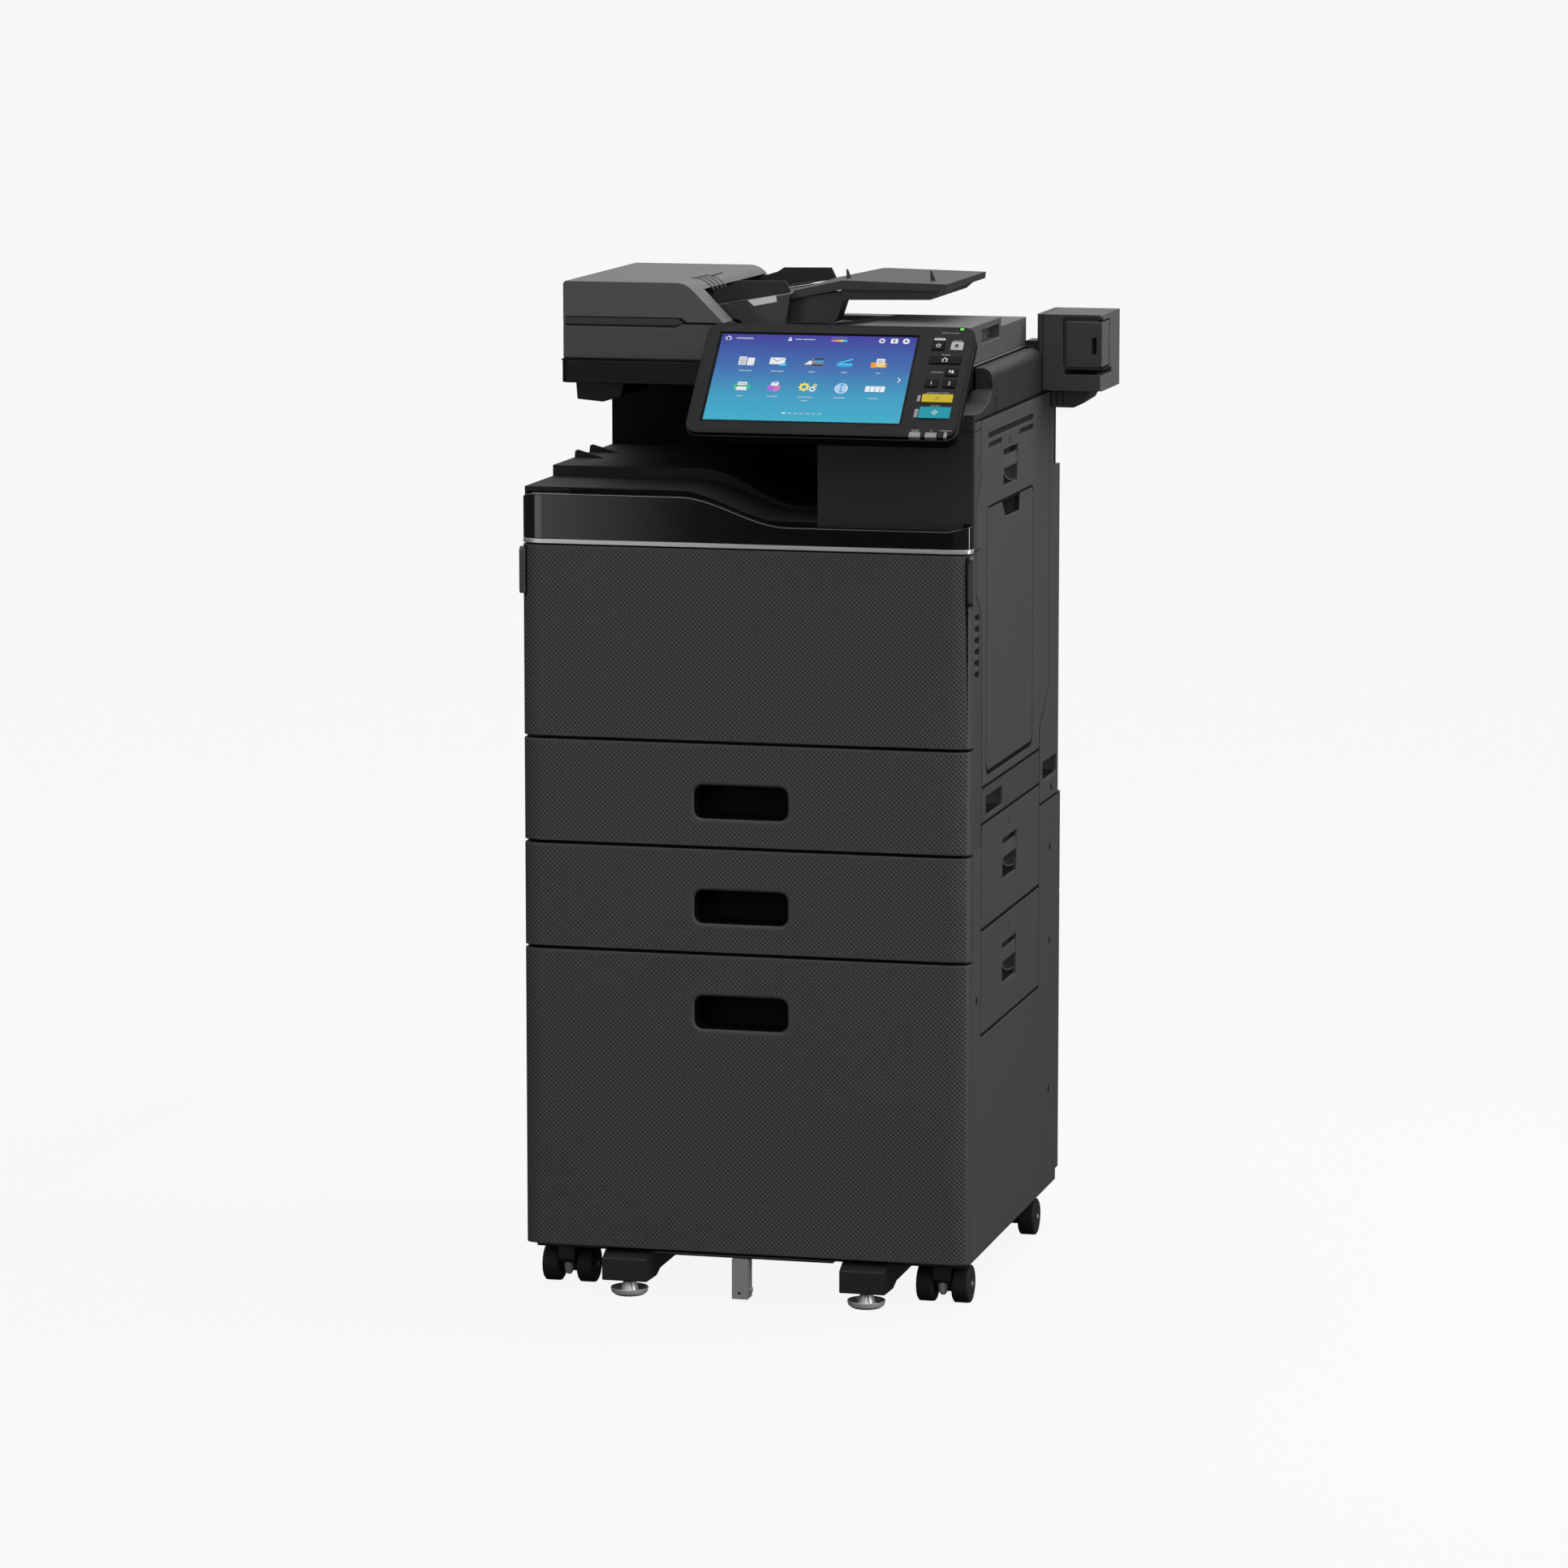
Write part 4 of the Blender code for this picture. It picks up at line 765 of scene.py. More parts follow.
def build_columns():
    louvres = [box_yz(0.0285, 0.0558, 0.8112 + 0.0145 * i, 0.8208 + 0.0145 * i) for i in range(6)]
    slot = box_yz(0.0485, 0.0515, 1.0800, 1.0885)
    grip = rounded((0.0990, 0.6275), (0.1990, 0.6535), 0.0040)
    skin = plate(FRONT_COLUMN, [*louvres, slot, grip], "x", FACE_X, BODY_X, EDGE)
    # the column's core is black: painted shade that shows through its holes and gaps
    core = prism(shrunk(FRONT_COLUMN, 0.0008), "x", CORE_X, FACE_X + 0.0002, 1)
    slopes = [
        prism([(FACE_X, 0.8116 + 0.0145 * i), (BODY_X - 0.0012, 0.8116 + 0.0145 * i),
               (FACE_X, 0.8136 + 0.0145 * i)],
              "y", 0.0290, 0.0552, 0)
        for i in range(6)
    ]
    # the back of the grip takes the dark copy of the side grey: painted shade
    back = prism([(0.0985, 0.6540), (0.0985, 0.6440), (0.1995, 0.6295), (0.1995, 0.6540)], "x", FACE_X,
                 FACE_X + 0.0010, 2)
    # the front column takes the darker copy of the side grey: painted shade
    piece("right_front_cover_skin", [skin, core, back, *slopes], ["side_front_shaded", "pocket", "side_recess_shade"],
          "root",
          replaces=("right_front_cover",), angle=50)
    rear_grip = rounded((0.4560, 0.6200), (0.5480, 0.6460), 0.0040)
    skin = plate(REAR_COLUMN, [rear_grip], "x", FACE_X, BODY_X, EDGE)
    # the column's core is black: painted shade that shows through its holes and gaps
    core = prism(shrunk(REAR_COLUMN, 0.0008), "x", CORE_X, FACE_X + 0.0002, 1)
    # the back of the grip takes the dark copy of the side grey: painted shade
    back = prism([(0.4555, 0.6465), (0.4555, 0.6380), (0.5485, 0.6235), (0.5485, 0.6465)], "x", FACE_X,
                 FACE_X + 0.0010, 2)
    strip = prism(box_yz(0.5215, 0.5290, 1.0370, 1.1270), "x", BODY_X - 0.0006, BODY_X + 0.0001, 1)
    piece("right_rear_cover_skin", [skin, core, back, strip], ["side", "pocket", "side_recess_shade"], "root",
          replaces=("right_rear_cover",), angle=50)
    lines = [block(SEAM_X, (0.0232, 0.0600), (0.9745, 0.9757)),
             block(SEAM_X, (0.0232, 0.0604), (1.1255, 1.1266)),
             block(SEAM_X, (0.0705, 0.0718), (0.5930, 0.6655))]
    piece("column_seams", lines, "pocket", "root")


def build_access_doors():
    for name, low, high in (("upper", 0.4855, 0.6195), ("lower", 0.3490, 0.4825)):
        pocket_top = high - 0.0370
        pocket = box_yz(0.2030, 0.2920, pocket_top - 0.0540, pocket_top)
        dashes = door_dashes(0.238, (high - 0.0240, high - 0.0200, high - 0.0160))
        outline = rounded((0.0751, low + 0.0006), (0.4349, high - 0.0006), 0.0030, 3)
        skin = plate(outline, [pocket, *dashes], "x", FACE_X, BODY_X, EDGE)
        # the door's core is black: painted shade that shows through its holes and gaps
        core = block((0.2830, FACE_X + 0.0002), (0.0765, 0.4335), (low + 0.002, high - 0.002), 1)
        node = f"{name}_access_door"
        piece(f"{node}_skin", [skin, core], ["side", "pocket"], body_of(node),
              replaces=(node,),
              angle=50)
        latch_pieces(f"{name}_access_latch", (0.2030, 0.2920), pocket_top, body_of(f"{name}_access_latch"),
                     body_of(node))


def build_side_details():
    """Black sheets in the gaps round the doors, painted shade, and the screws of the covers."""
    gap_shades = [
        plate(shrunk(SIDE_DOOR, -0.0036), [shrunk(SIDE_DOOR, 0.0010)], "x", 0.2795, GAP_SHADE_X, 0.0001),
        plate(box_yz(0.0715, 0.4385, 0.3460, 0.6235), [box_yz(0.0757, 0.4343, 0.3502, 0.6183)], "x", 0.2800,
              GAP_SHADE_X, 0.0001),
        block((0.2835, GAP_SHADE_X), (0.0728, 0.4372), (0.4818, 0.4862)),
        block((0.2835, GAP_SHADE_X), (0.4350, 0.5595), (0.5898, 0.5931)),
        block((0.2835, GAP_SHADE_X), (0.4345, 0.4375), (0.5898, 0.6950)),
    ]
    piece("door_gap_shades", gap_shades, "pocket", "root", angle=50)
    heads = []
    for y, z in ((0.5135, 0.6052), (0.5080, 0.5256), (0.5080, 0.3987), (0.5080, 0.1960), (0.0480, 0.3987)):
        low, high = (y - 0.0042, z - 0.0052), (y + 0.0042, z + 0.0052)
        heads.append(prism(rounded(low, high, 0.0038, 4), "x", BODY_X - 0.0010, BODY_X + 0.0001))
    heads.append(block((BODY_X - 0.0010, SEAM_X[1]), (0.4360, 0.5590), (0.5903, 0.5933)))
    piece("side_slots", heads, "pocket", "root")


# ---------------------------------------------------------------- output deck and band
def falling_bend(start, end, high, low, steps):
    bend = []
    for i in range(steps + 1):
        t = i / steps
        bend.append((start + (end - start) * t, high + (low - high) * (t * t * (3 - 2 * t))))
    return bend


def ribbon(top, thickness):
    """A band under a line of (x, z) points."""
    return top + [(x, z - thickness) for x, z in reversed(top)]


def build_deck_details():
    """The ledge between the glossy band and the deck, its black slot, and a thin light strip along the band's top
    edge that is a painted highlight.
    """
    ledge = [(-0.2900, 1.0335), (-0.2800, 1.0366), (-0.2330, 1.0366)]
    slot = [(-0.2330, 1.0364)] + falling_bend(-0.0850, 0.0560, 1.0364, 1.0011, 20) + [(0.2640, 1.0011),
                                                                                      (0.2760, 1.0045)]
    piece("band_ledge", [prism(ribbon(ledge, 0.0010), "y", 0.0045, 0.0184)], "ledge", "root", bevel=0.0002)
    piece("band_slot", [prism(ribbon(slot, 0.0010), "y", 0.0020, 0.0184)], "pocket", "root")
    lip = [(-0.2330, 1.0425)] + falling_bend(-0.0880, 0.0420, 1.0425, 1.0070, 20) + [(0.0890, 1.0070)]
    piece("slot_back", [prism(ribbon(lip, 0.0062), "y", 0.0186, 0.0189)], "pocket", "root")
    # a thin light strip along the band's top edge: painted highlight
    line = [(-0.2790, 1.0368)] + falling_bend(-0.0850, 0.0560, 1.0368, 1.0015, 24) + [(0.2640, 1.0015),
                                                                                      (0.2790, 1.0055)]
    piece("band_highlight", [prism(ribbon(line, 0.0008), "y", 0.0000, 0.0016)], "edge", "root", bevel=0.0002)


# ---------------------------------------------------------------- document feeder
SLOPE_SHIFT, SLOPE_START_Y = 0.030, 0.114       # the cover's right slope moves right by this share, from here back


def build_feeder_cover():
    """The top cover, with painted shade on the faces inside the lever's groove along its front, painted light on
    its upward faces, and its right slope set back a little towards the rear.
    """
    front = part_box("feeder_top_cover")[0].y - MACHINE_Y

    def tone(centre, normal):
        # faces set back inside the lever's groove take the dark lever grey: painted shade
        if front + 0.0002 < centre.y < front + 0.0075 and 1.2435 < centre.z < 1.2538:
            return 1
        # upward faces take the lighter copy of the grey: painted light
        return 2 if normal.z > 0.5 else 0

    made = refined("feeder_top_cover", "feeder", 0.0016, paint=tone, finishes=("lever", "feeder_top"))
    for vert in made.data.vertices:
        if vert.co.x > -0.13 and vert.co.z > 1.2495:
            vert.co.x += SLOPE_SHIFT * max(vert.co.y - SLOPE_START_Y, 0.0)


def build_feeder_details():
    ribs = []
    for i in range(4):
        y = 0.1930 + 0.0185 * i
        shift = SLOPE_SHIFT * (y - SLOPE_START_Y)
        path = [(r * sin(radians(a)) - 0.1165 + shift, 1.2710 + r * cos(radians(a)))
                for r, a in [(0.0288, a) for a in range(-10, 46, 5)]]
        end = path[-1]
        path.append((end[0] + 0.0060, end[1] - 0.0060))
        under = [(x - 0.0010, z - 0.0016) for x, z in reversed(path)]
        ribs.append(prism(path + under, "y", y, y + 0.0030))
    piece("feeder_ribs", ribs, "lever", "feeder_cover", bevel=0.0)
    mark = [block((-0.1060, -0.1048), (0.2480, 0.3020), (1.2975, 1.2994))]
    piece("feeder_mark", mark, "pocket_grey", "feeder_cover")
    seam = block((-0.1060, -0.0545), (0.1116, 0.1126), (1.2468, 1.2478))
    piece("feeder_seam", [seam], "pocket", "document_feeder")
    label = prism([(-0.0378, 1.2739), (-0.0003, 1.2808), (0.0007, 1.2725), (-0.0293, 1.2668)], "y", 0.1694,
                  0.1700)
    piece("guide_label", [label], "label", "input_tray")
    edge_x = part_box("feeder_base")[1].x - MACHINE_X
    outer, inner = box2(-edge_x + 0.0004, 0.1124, edge_x - 0.0004, 0.4566), box2(-edge_x + 0.004, 0.116,
                                                                                 edge_x - 0.004, 0.453)
    # a black ring and strips that fill the gaps between the feeder's parts and the scanner: painted shade
    gap_shade_ring = ring_plate(outer, inner, "z", 1.2000, 1.2022)
    split = block((-edge_x + 0.0004, -edge_x + 0.0045), (0.1160, 0.4540), (1.2452, 1.2498))
    end_cap = block((-edge_x + 0.0003, -edge_x + 0.0040), (0.1126, 0.1180), (1.2420, 1.2535), 1)
    piece("feeder_gap_shade_ring", [gap_shade_ring, split, end_cap], ["pocket", "lever"], "document_feeder")
    rail = block((-0.2655, 0.2655), (0.0985, 0.1100), (1.1986, 1.2003))
    piece("platen_rim", [rail], "pocket", "root")
    # a light strip along the scanner's right top edge: painted highlight
    side_highlight_rail = block((0.2660, 0.2676), (0.0990, 0.5200), (1.1984, 1.2000))
    piece("platen_side_highlight", [side_highlight_rail], "edge", "root", bevel=0.0003)
    pad = block((-0.2520, 0.2520), (0.1230, 0.4420), (1.2006, 1.2130))
    piece("platen_pad", [pad], "pad", "document_feeder", bevel=0.0010)
    lines = [block((0.2300, 0.2308), (0.1130, 0.4270), (1.2368, 1.2374)),
             block((0.0510, 0.2290), (0.3000, 0.3012), (1.2366, 1.2372))]
    piece("feeder_deck_lines", lines, "pocket", "document_feeder")


# ---------------------------------------------------------------- tower, stapler and base
def build_tower():
    """The tower with its paper bay painted darker as painted shade, its seams, the port on the shoulder and a
    round plug.
    """
    def bay(centre, normal):
        # faces in the paper bay take the darker black: painted shade
        return 1 if centre.x < 0.0905 and centre.z < 1.19 else 0

    refined("tower_cover", "tower", 0.0010, paint=bay, finishes=("bay_dark",))
    seams = [
        block((BODY_X - 0.0025, BODY_X - 0.0008), (0.0230, 0.0330), (1.1372, 1.1384)),
        block((0.0925, BODY_X - 0.0030), (0.0197, 0.0203), (1.1255, 1.1262)),
    ]
    piece("tower_seams", seams, "pocket", "root")
    face = BODY_X - 0.0010
    frame_outer, frame_inner = box_yz(0.1390, 0.1660, 1.1430, 1.1680), box_yz(0.1398, 0.1652, 1.1438, 1.1672)
    port = [ring_plate(frame_outer, frame_inner, "x", face - 0.0004, face + 0.0001),
            prism(box_yz(0.1500, 0.1540, 1.1470, 1.1600), "x", face - 0.0004, face + 0.0002)]
    piece("data_port", port, "pocket", "root")
    hinge_cover = turned([(0.0, 0), (0.0, 0.0042), (0.0012, 0.0050), (0.0014, 0.0)], "x",
                         (face, 0.1300, 1.1780), 20)
    piece("tower_plug", [hinge_cover], "tower", "root", bevel=0.0003)


def build_stapler():
    """The stapler's housing and door, with painted light: lighter copies of the grey on the faces that look up or
    right; with their seams.
    """
    def side(centre, normal):
        # upward faces and right faces take the lighter copies of the grey: painted light
        return 1 if normal.z > 0.7 else 2 if normal.x > 0.7 and centre.x > 0.345 else 0

    refined("stapler_housing", "stapler", 0.0020, paint=side, finishes=("stapler_top_painted_light", "stapler_side_painted_light"))
    refined("stapler_door", "stapler", 0.0012, paint=side, finishes=("stapler_top_painted_light", "stapler_side_painted_light"))
    right = 0.3720
    seams = [
        block((0.2921, 0.2931), (0.4396, 0.4410), (1.1425, 1.2412)),
        block((0.2921, 0.2931), (0.4420, 0.5590), (1.2410, 1.2422)),
        block((right - 0.0006, right + 0.0001), (0.4880, 0.4902), (1.1735, 1.2350)),
        block((right - 0.0006, right + 0.0001), (0.4440, 0.4902), (1.2332, 1.2350)),
        block((right - 0.0006, right + 0.0001), (0.4440, 0.4902), (1.1708, 1.1732)),
        block((0.3010, 0.3019), (0.4930, 0.4937), (1.1180, 1.1420)),
        block((0.3090, 0.3099), (0.4930, 0.4937), (1.1180, 1.1420)),
    ]
    piece("stapler_seams", seams, "pocket", "root")
    pull = [block((0.3588, 0.3602), (0.4394, 0.4404), (1.1900, 1.2120)),
            block((0.3600, 0.3640), (0.4420, 0.4430), (1.1895, 1.2125))]
    piece("stapler_pull", pull, "pocket", body_of("stapler_door"))
    swoop = [(0.2700, 1.2065), (0.2860, 1.2065), (0.2860, 1.1800), (0.2845, 1.1900), (0.2800, 1.1985),
             (0.2700, 1.2010)]
    piece("stapler_swoop", [prism(swoop, "y", 0.4445, 0.4480)], "bay_black", "root", bevel=0.0004)


def build_base_details():
    """Hubs and stems of the casters, and the bolt and the plugged hole of the stabiliser bracket."""
    for end in ("front", "rear"):
        for side in ("left", "right"):
            low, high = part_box(f"caster_wheels_{end}_{side}")
            centre = (low + high) / 2
            middle = MACHINE.inverted() @ centre
            half = (high.x - low.x) / 2
            shapes = []
            for way in (-1, 1):
                face = half * way
                cap = [(face - 0.0040 * way, 0), (face - 0.0040 * way, 0.0178), (face + 0.0002 * way, 0.0178),
                       (face + 0.0004 * way, 0.0168), (face - 0.0016 * way, 0.0155),
                       (face - 0.0016 * way, 0.0060),
                       (face + 0.0003 * way, 0.0052), (face + 0.0003 * way, 0)]
                shapes.append(turned(cap, "x", middle, 24))
                pin = [(face + 0.0001 * way, 0), (face + 0.0001 * way, 0.0034), (face + 0.0012 * way, 0.0028),
                       (face + 0.0012 * way, 0)]
                shapes.append(turned(pin, "x", middle, 16, 1))
            piece(f"wheel_hubs_{end}_{side}", shapes, ["hub", "steel"],
                  body_of(f"caster_wheels_{end}_{side}"))
            stem_y = 0.055 if end == "front" else 0.4985
            stem = [(0.0128, 0), (0.0128, 0.0030), (0.0140, 0.0040), (0.0180, 0.0060), (0.0500, 0.0085),
                    (0.0500, 0)]
            tip = turned(stem, "z", (middle.x, stem_y, 0.0), 16)
            piece(f"caster_stem_{end}_{side}", [tip], "steel", body_of(f"caster_fork_{end}_{side}"),
                  bevel=0.0003)
    bolt = turned([(0.0050, 0), (0.0050, 0.0042), (0.0072, 0.0042), (0.0080, 0.0030), (0.0080, 0)], "x",
                  (0.0, 0.0110, 0.0150), 6)
    piece("bracket_bolt", [bolt], "steel", "root", bevel=0.0002)
    plug = turned([(-0.0012, 0), (-0.0012, 0.0021), (0.0006, 0.0021), (0.0006, 0)], "y",
                  (-0.0062, 0.0, 0.0125), 16)
    piece("bracket_hole", [plug], "pocket", "root")


def build_rear_details():
    """Power inlet, screws and blank plates on the rear cover."""
    back = 0.5755
    inlet_rim = ring_plate(rounded((-0.2185, 0.6315), (-0.1835, 0.6595), 0.0040, 5),
                           rounded((-0.2150, 0.6350), (-0.1870, 0.6560), 0.0030, 5), "y", back - 0.0002,
                           back + 0.0012)
    pins = [block((x - 0.0010, x + 0.0010), (back - 0.0125, back - 0.0020), (z, z + 0.0065), 1)
            for x, z in ((-0.2065, 0.6420), (-0.1955, 0.6420), (-0.2010, 0.6475))]
    piece("power_inlet", [inlet_rim, *pins], ["black", "steel"], "root", bevel=0.0002)
    heads = []
    for x in (-0.2800, -0.0800, 0.0900, 0.2650):
        for z in (0.6050, 0.8100, 1.0200):
            heads.append(turned([(back - 0.001, 0), (back - 0.001, 0.0034), (back + 0.0008, 0.0030),
                                 (back + 0.0012, 0.0018),
                                 (back + 0.0004, 0.0010), (back + 0.0004, 0)], "y", (x, 0.0, z), 16))
    piece("rear_screws", heads, "steel", "root")
    plates = [prism(rounded((-0.2400, 0.7000), (-0.1400, 0.7600), 0.004, 4), "y", back - 0.0002,
                    back + 0.0008),
              prism(rounded((-0.2200, 0.8600), (-0.1700, 0.9600), 0.004, 4), "y", back - 0.0002,
                    back + 0.0008)]
    piece("rear_plates", plates, "pocket_grey", "root", bevel=0.0003)


def build_inner_cover():
    """The plain inner cover behind the front cover, open round the toner bottle and the drum."""
    outline = rounded((-0.2660, 0.7340), (0.2660, 0.9660), 0.006, 4)
    bottle, drum = circle((-0.150, 0.900), 0.0500, 40), circle((0.060, 0.850), 0.0190, 24)
    piece("inner_cover", [plate(outline, [bottle, drum], "y", 0.0262, 0.0292, 0.0004)], "tray", "root",
          angle=50)


# ---------------------------------------------------------------- display
def mm(points, scale=0.001):
    return [(u * scale, v * scale) for u, v in points]


def moved(points, u, v):
    return [(a + u, b + v) for a, b in points]


def gear(radius, teeth, depth, steps=4):
    """The outline of a small gear, in millimetres."""
    outline = []
    for tooth in range(teeth):
        for i, share in enumerate((0.0, 0.22, 0.5, 0.72)):
            angle = 2 * pi * (tooth + share) / teeth
            r = radius if i < 2 else radius - depth
            outline.append((r * cos(angle), r * sin(angle)))
    return outline


LIT = ("lit_white", "lit_pale", "lit_grey", "lit_dark", "lit_blue", "lit_cyan", "lit_orange", "lit_green",
       "lit_purple", "lit_yellow", "lit_pink")
WHITE, PALE, GREY, DARK, BLUE, CYAN, ORANGE, GREEN, PURPLE, YELLOW, PINK = range(len(LIT))
LAYER = 0.00012


def flat(points, level, number):
    """A thin plate on the display from an outline in millimetres."""
    base = GLASS_W + 0.00004
    return prism(mm(points), "z", base + LAYER * level, base + LAYER * (level + 1), number)


def flat_ring(outer, inner, level, number):
    base = GLASS_W + 0.00004
    return ring_plate(mm(outer), mm(inner), "z", base + LAYER * level, base + LAYER * (level + 1), number)


def box2(u0, v0, u1, v1):
    return [(u0, v0), (u1, v0), (u1, v1), (u0, v1)]


def placed(parts, u, v):
    """Plates on the display from (outline in millimetres about (u, v), layer, colour) parts."""
    return [flat(moved(outline, u, v), level, number) for outline, level, number in parts]


def icon_pages(u, v):
    lines = [(box2(-9.3, y - 0.9, -2.2, y), 1, GREY) for y in (4.8 - 2.2 * i for i in range(5))]
    return placed([
        (box2(-10.5, -6.5, -1.0, 7.0), 0, WHITE),
        (box2(0.5, -7.0, 9.5, 5.5), 0, WHITE),
        *lines,
        (box2(6.6, -5.6, 8.6, -3.8), 1, PALE),
    ], u, v)


def icon_mail(u, v):
    return placed([
        (box2(-11.5, -4.5, 8.0, 6.5), 0, WHITE),
        ([(-11.0, 6.0), (-9.8, 6.0), (-1.7, 0.9), (6.4, 6.0), (7.6, 6.0), (-1.7, -0.3)], 1, GREY),
        ([(1.5, -6.8), (10.5, -6.8), (10.5, -3.6), (3.2, -3.6)], 2, CYAN),
        ([(4.0, -3.0), (9.4, -3.0), (10.5, -1.4), (9.6, -1.0)], 2, BLUE),
    ], u, v)


def icon_copier(u, v):
    return placed([
        (box2(-2.5, -6.0, 12.0, 7.0), 0, GREY),
        (box2(-0.5, 3.6, 12.0, 7.0), 1, DARK),
        (box2(1.0, 0.4, 11.0, 3.2), 1, BLUE),
        (box2(-2.5, -6.0, 12.0, -3.4), 1, DARK),
        ([(-12.0, -3.6), (-2.5, -3.6), (-2.5, 1.4), (-6.0, 2.6), (-8.0, 0.0)], 1, WHITE),
        ([(-12.0, -5.4), (-2.5, -5.4), (-2.5, -3.9), (-12.0, -3.9)], 2, GREY),
    ], u, v)


def icon_scanner(u, v):
    return placed([
        (box2(-9.5, -6.5, 9.5, -2.2), 0, BLUE),
        (box2(-9.5, -3.4, 9.5, -1.2), 1, CYAN),
        ([(-8.0, -0.2), (8.5, 7.2), (9.5, 5.4), (-4.8, -0.6)], 1, CYAN),
    ], u, v)


def icon_fax(u, v):
    return placed([
        (box2(-9.5, -6.5, 9.5, 0.8), 0, ORANGE),
        (box2(-10.5, -7.2, -5.5, 1.6), 1, ORANGE),
        (box2(-4.2, -1.0, 6.5, 7.6), 2, WHITE),
        (box2(-2.6, 3.6, 4.8, 4.6), 3, GREY),
        (box2(-2.6, 1.2, 4.8, 2.2), 3, GREY),
        (box2(-3.4, -5.4, 7.6, -2.2), 3, YELLOW),
    ], u, v)


def icon_printer(u, v):
    return placed([
        (rounded((-10.5, -4.0), (10.5, 2.6), 1.4, 3), 0, GREEN),
        (box2(-6.0, 2.0, 6.0, 7.2), 0, WHITE),
        (box2(-6.4, -0.6, 6.4, 0.8), 1, DARK),
        ([(-5.6, -0.4), (5.6, -0.4), (7.4, -6.4), (-7.4, -6.4)], 2, WHITE),
        (box2(-4.8, 4.2, 4.8, 5.0), 1, GREY),
    ], u, v)


def icon_box(u, v):
    return placed([
        ([(-8.0, -5.0), (0.0, -8.0), (0.0, 1.0), (-8.0, 3.0)], 1, PURPLE),
        ([(0.0, -8.0), (8.0, -5.0), (8.0, 3.0), (0.0, 1.0)], 1, PINK),
        ([(-5.0, 2.0), (4.5, 2.0), (5.4, 7.8), (-3.8, 7.8)], 0, WHITE),
        ([(-1.0, 5.0), (2.0, 5.0), (2.6, 9.2), (0.0, 9.2)], 2, PALE),
    ], u, v)


def icon_gears(u, v):
    big, small = moved(gear(7.4, 8, 1.9), u - 3.6, v + 1.0), moved(gear(4.6, 8, 1.3), u + 7.4, v - 2.4)
    tiny = moved(gear(3.0, 7, 0.9), u + 9.8, v + 3.4)
    return [
        flat_ring(big, moved(circle((0, 0), 2.9, 32), u - 3.6, v + 1.0), 0, YELLOW),
        flat_ring(small, moved(circle((0, 0), 2.0, 32), u + 7.4, v - 2.4), 1, WHITE),
        flat_ring(tiny, moved(circle((0, 0), 1.2, 28), u + 9.8, v + 3.4), 2, YELLOW),
    ]


def icon_globe(u, v):
    shapes = [flat(moved(circle((0, 0), 8.2, 32), u, v), 0, WHITE)]
    for half in (1.4, 5.0):
        outer = [(half * cos(a) + 0.45 * (1 if cos(a) > 0 else -1) * (abs(cos(a)) > 0.01), 7.4 * sin(a))
                 for a in (2 * pi * i / 32 for i in range(32))]
        inner = [(half * cos(a) - 0.45 * (1 if cos(a) > 0 else -1) * (abs(cos(a)) > 0.01), 6.9 * sin(a))
                 for a in (2 * pi * i / 32 for i in range(32))]
        shapes.append(flat_ring(moved(outer, u, v), moved(inner, u, v), 1, BLUE))
    for y in (-4.0, 0.0, 4.0):
        half = (7.4 ** 2 - y * y) ** 0.5
        shapes.append(flat(moved(box2(-half, y - 0.45, half, y + 0.45), u, v), 2, BLUE))
    shapes.append(flat(moved(box2(-0.45, -7.4, 0.45, 7.4), u, v), 3, BLUE))
    return shapes


def icon_counter(u, v):
    return placed([(box2(x, -4.6, x + 5.6, 4.6), 0, WHITE) for x in (-12.4 + 6.4 * i for i in range(4))], u,
                  v)


def greeked(words, u, v, height, level=0, number=PALE):
    """A line of short bars, centred on u, where a caption would be."""
    total = sum(words) + 1.3 * (len(words) - 1)
    shapes, at = [], u - total / 2
    for width in words:
        shapes.append(flat(box2(at, v - height / 2, at + width, v + height / 2), level, number))
        at += width + 1.3
    return shapes


def home_outline(u, v, size):
    """A little house as an outline, roof and walls, in millimetres."""
    roof = [(-1.25, -0.05), (0.0, 1.05), (1.25, -0.05), (1.02, -0.25), (0.0, 0.66), (-1.02, -0.25)]
    left = [(-0.85, -0.12), (-0.85, -1.0), (-0.22, -1.0), (-0.22, -0.78), (-0.62, -0.78), (-0.62, 0.02)]
    right = [(0.85, -0.12), (0.85, -1.0), (0.22, -1.0), (0.22, -0.78), (0.62, -0.78), (0.62, 0.02)]
    return [moved([(a * size, b * size) for a, b in part], u, v) for part in (roof, left, right)]


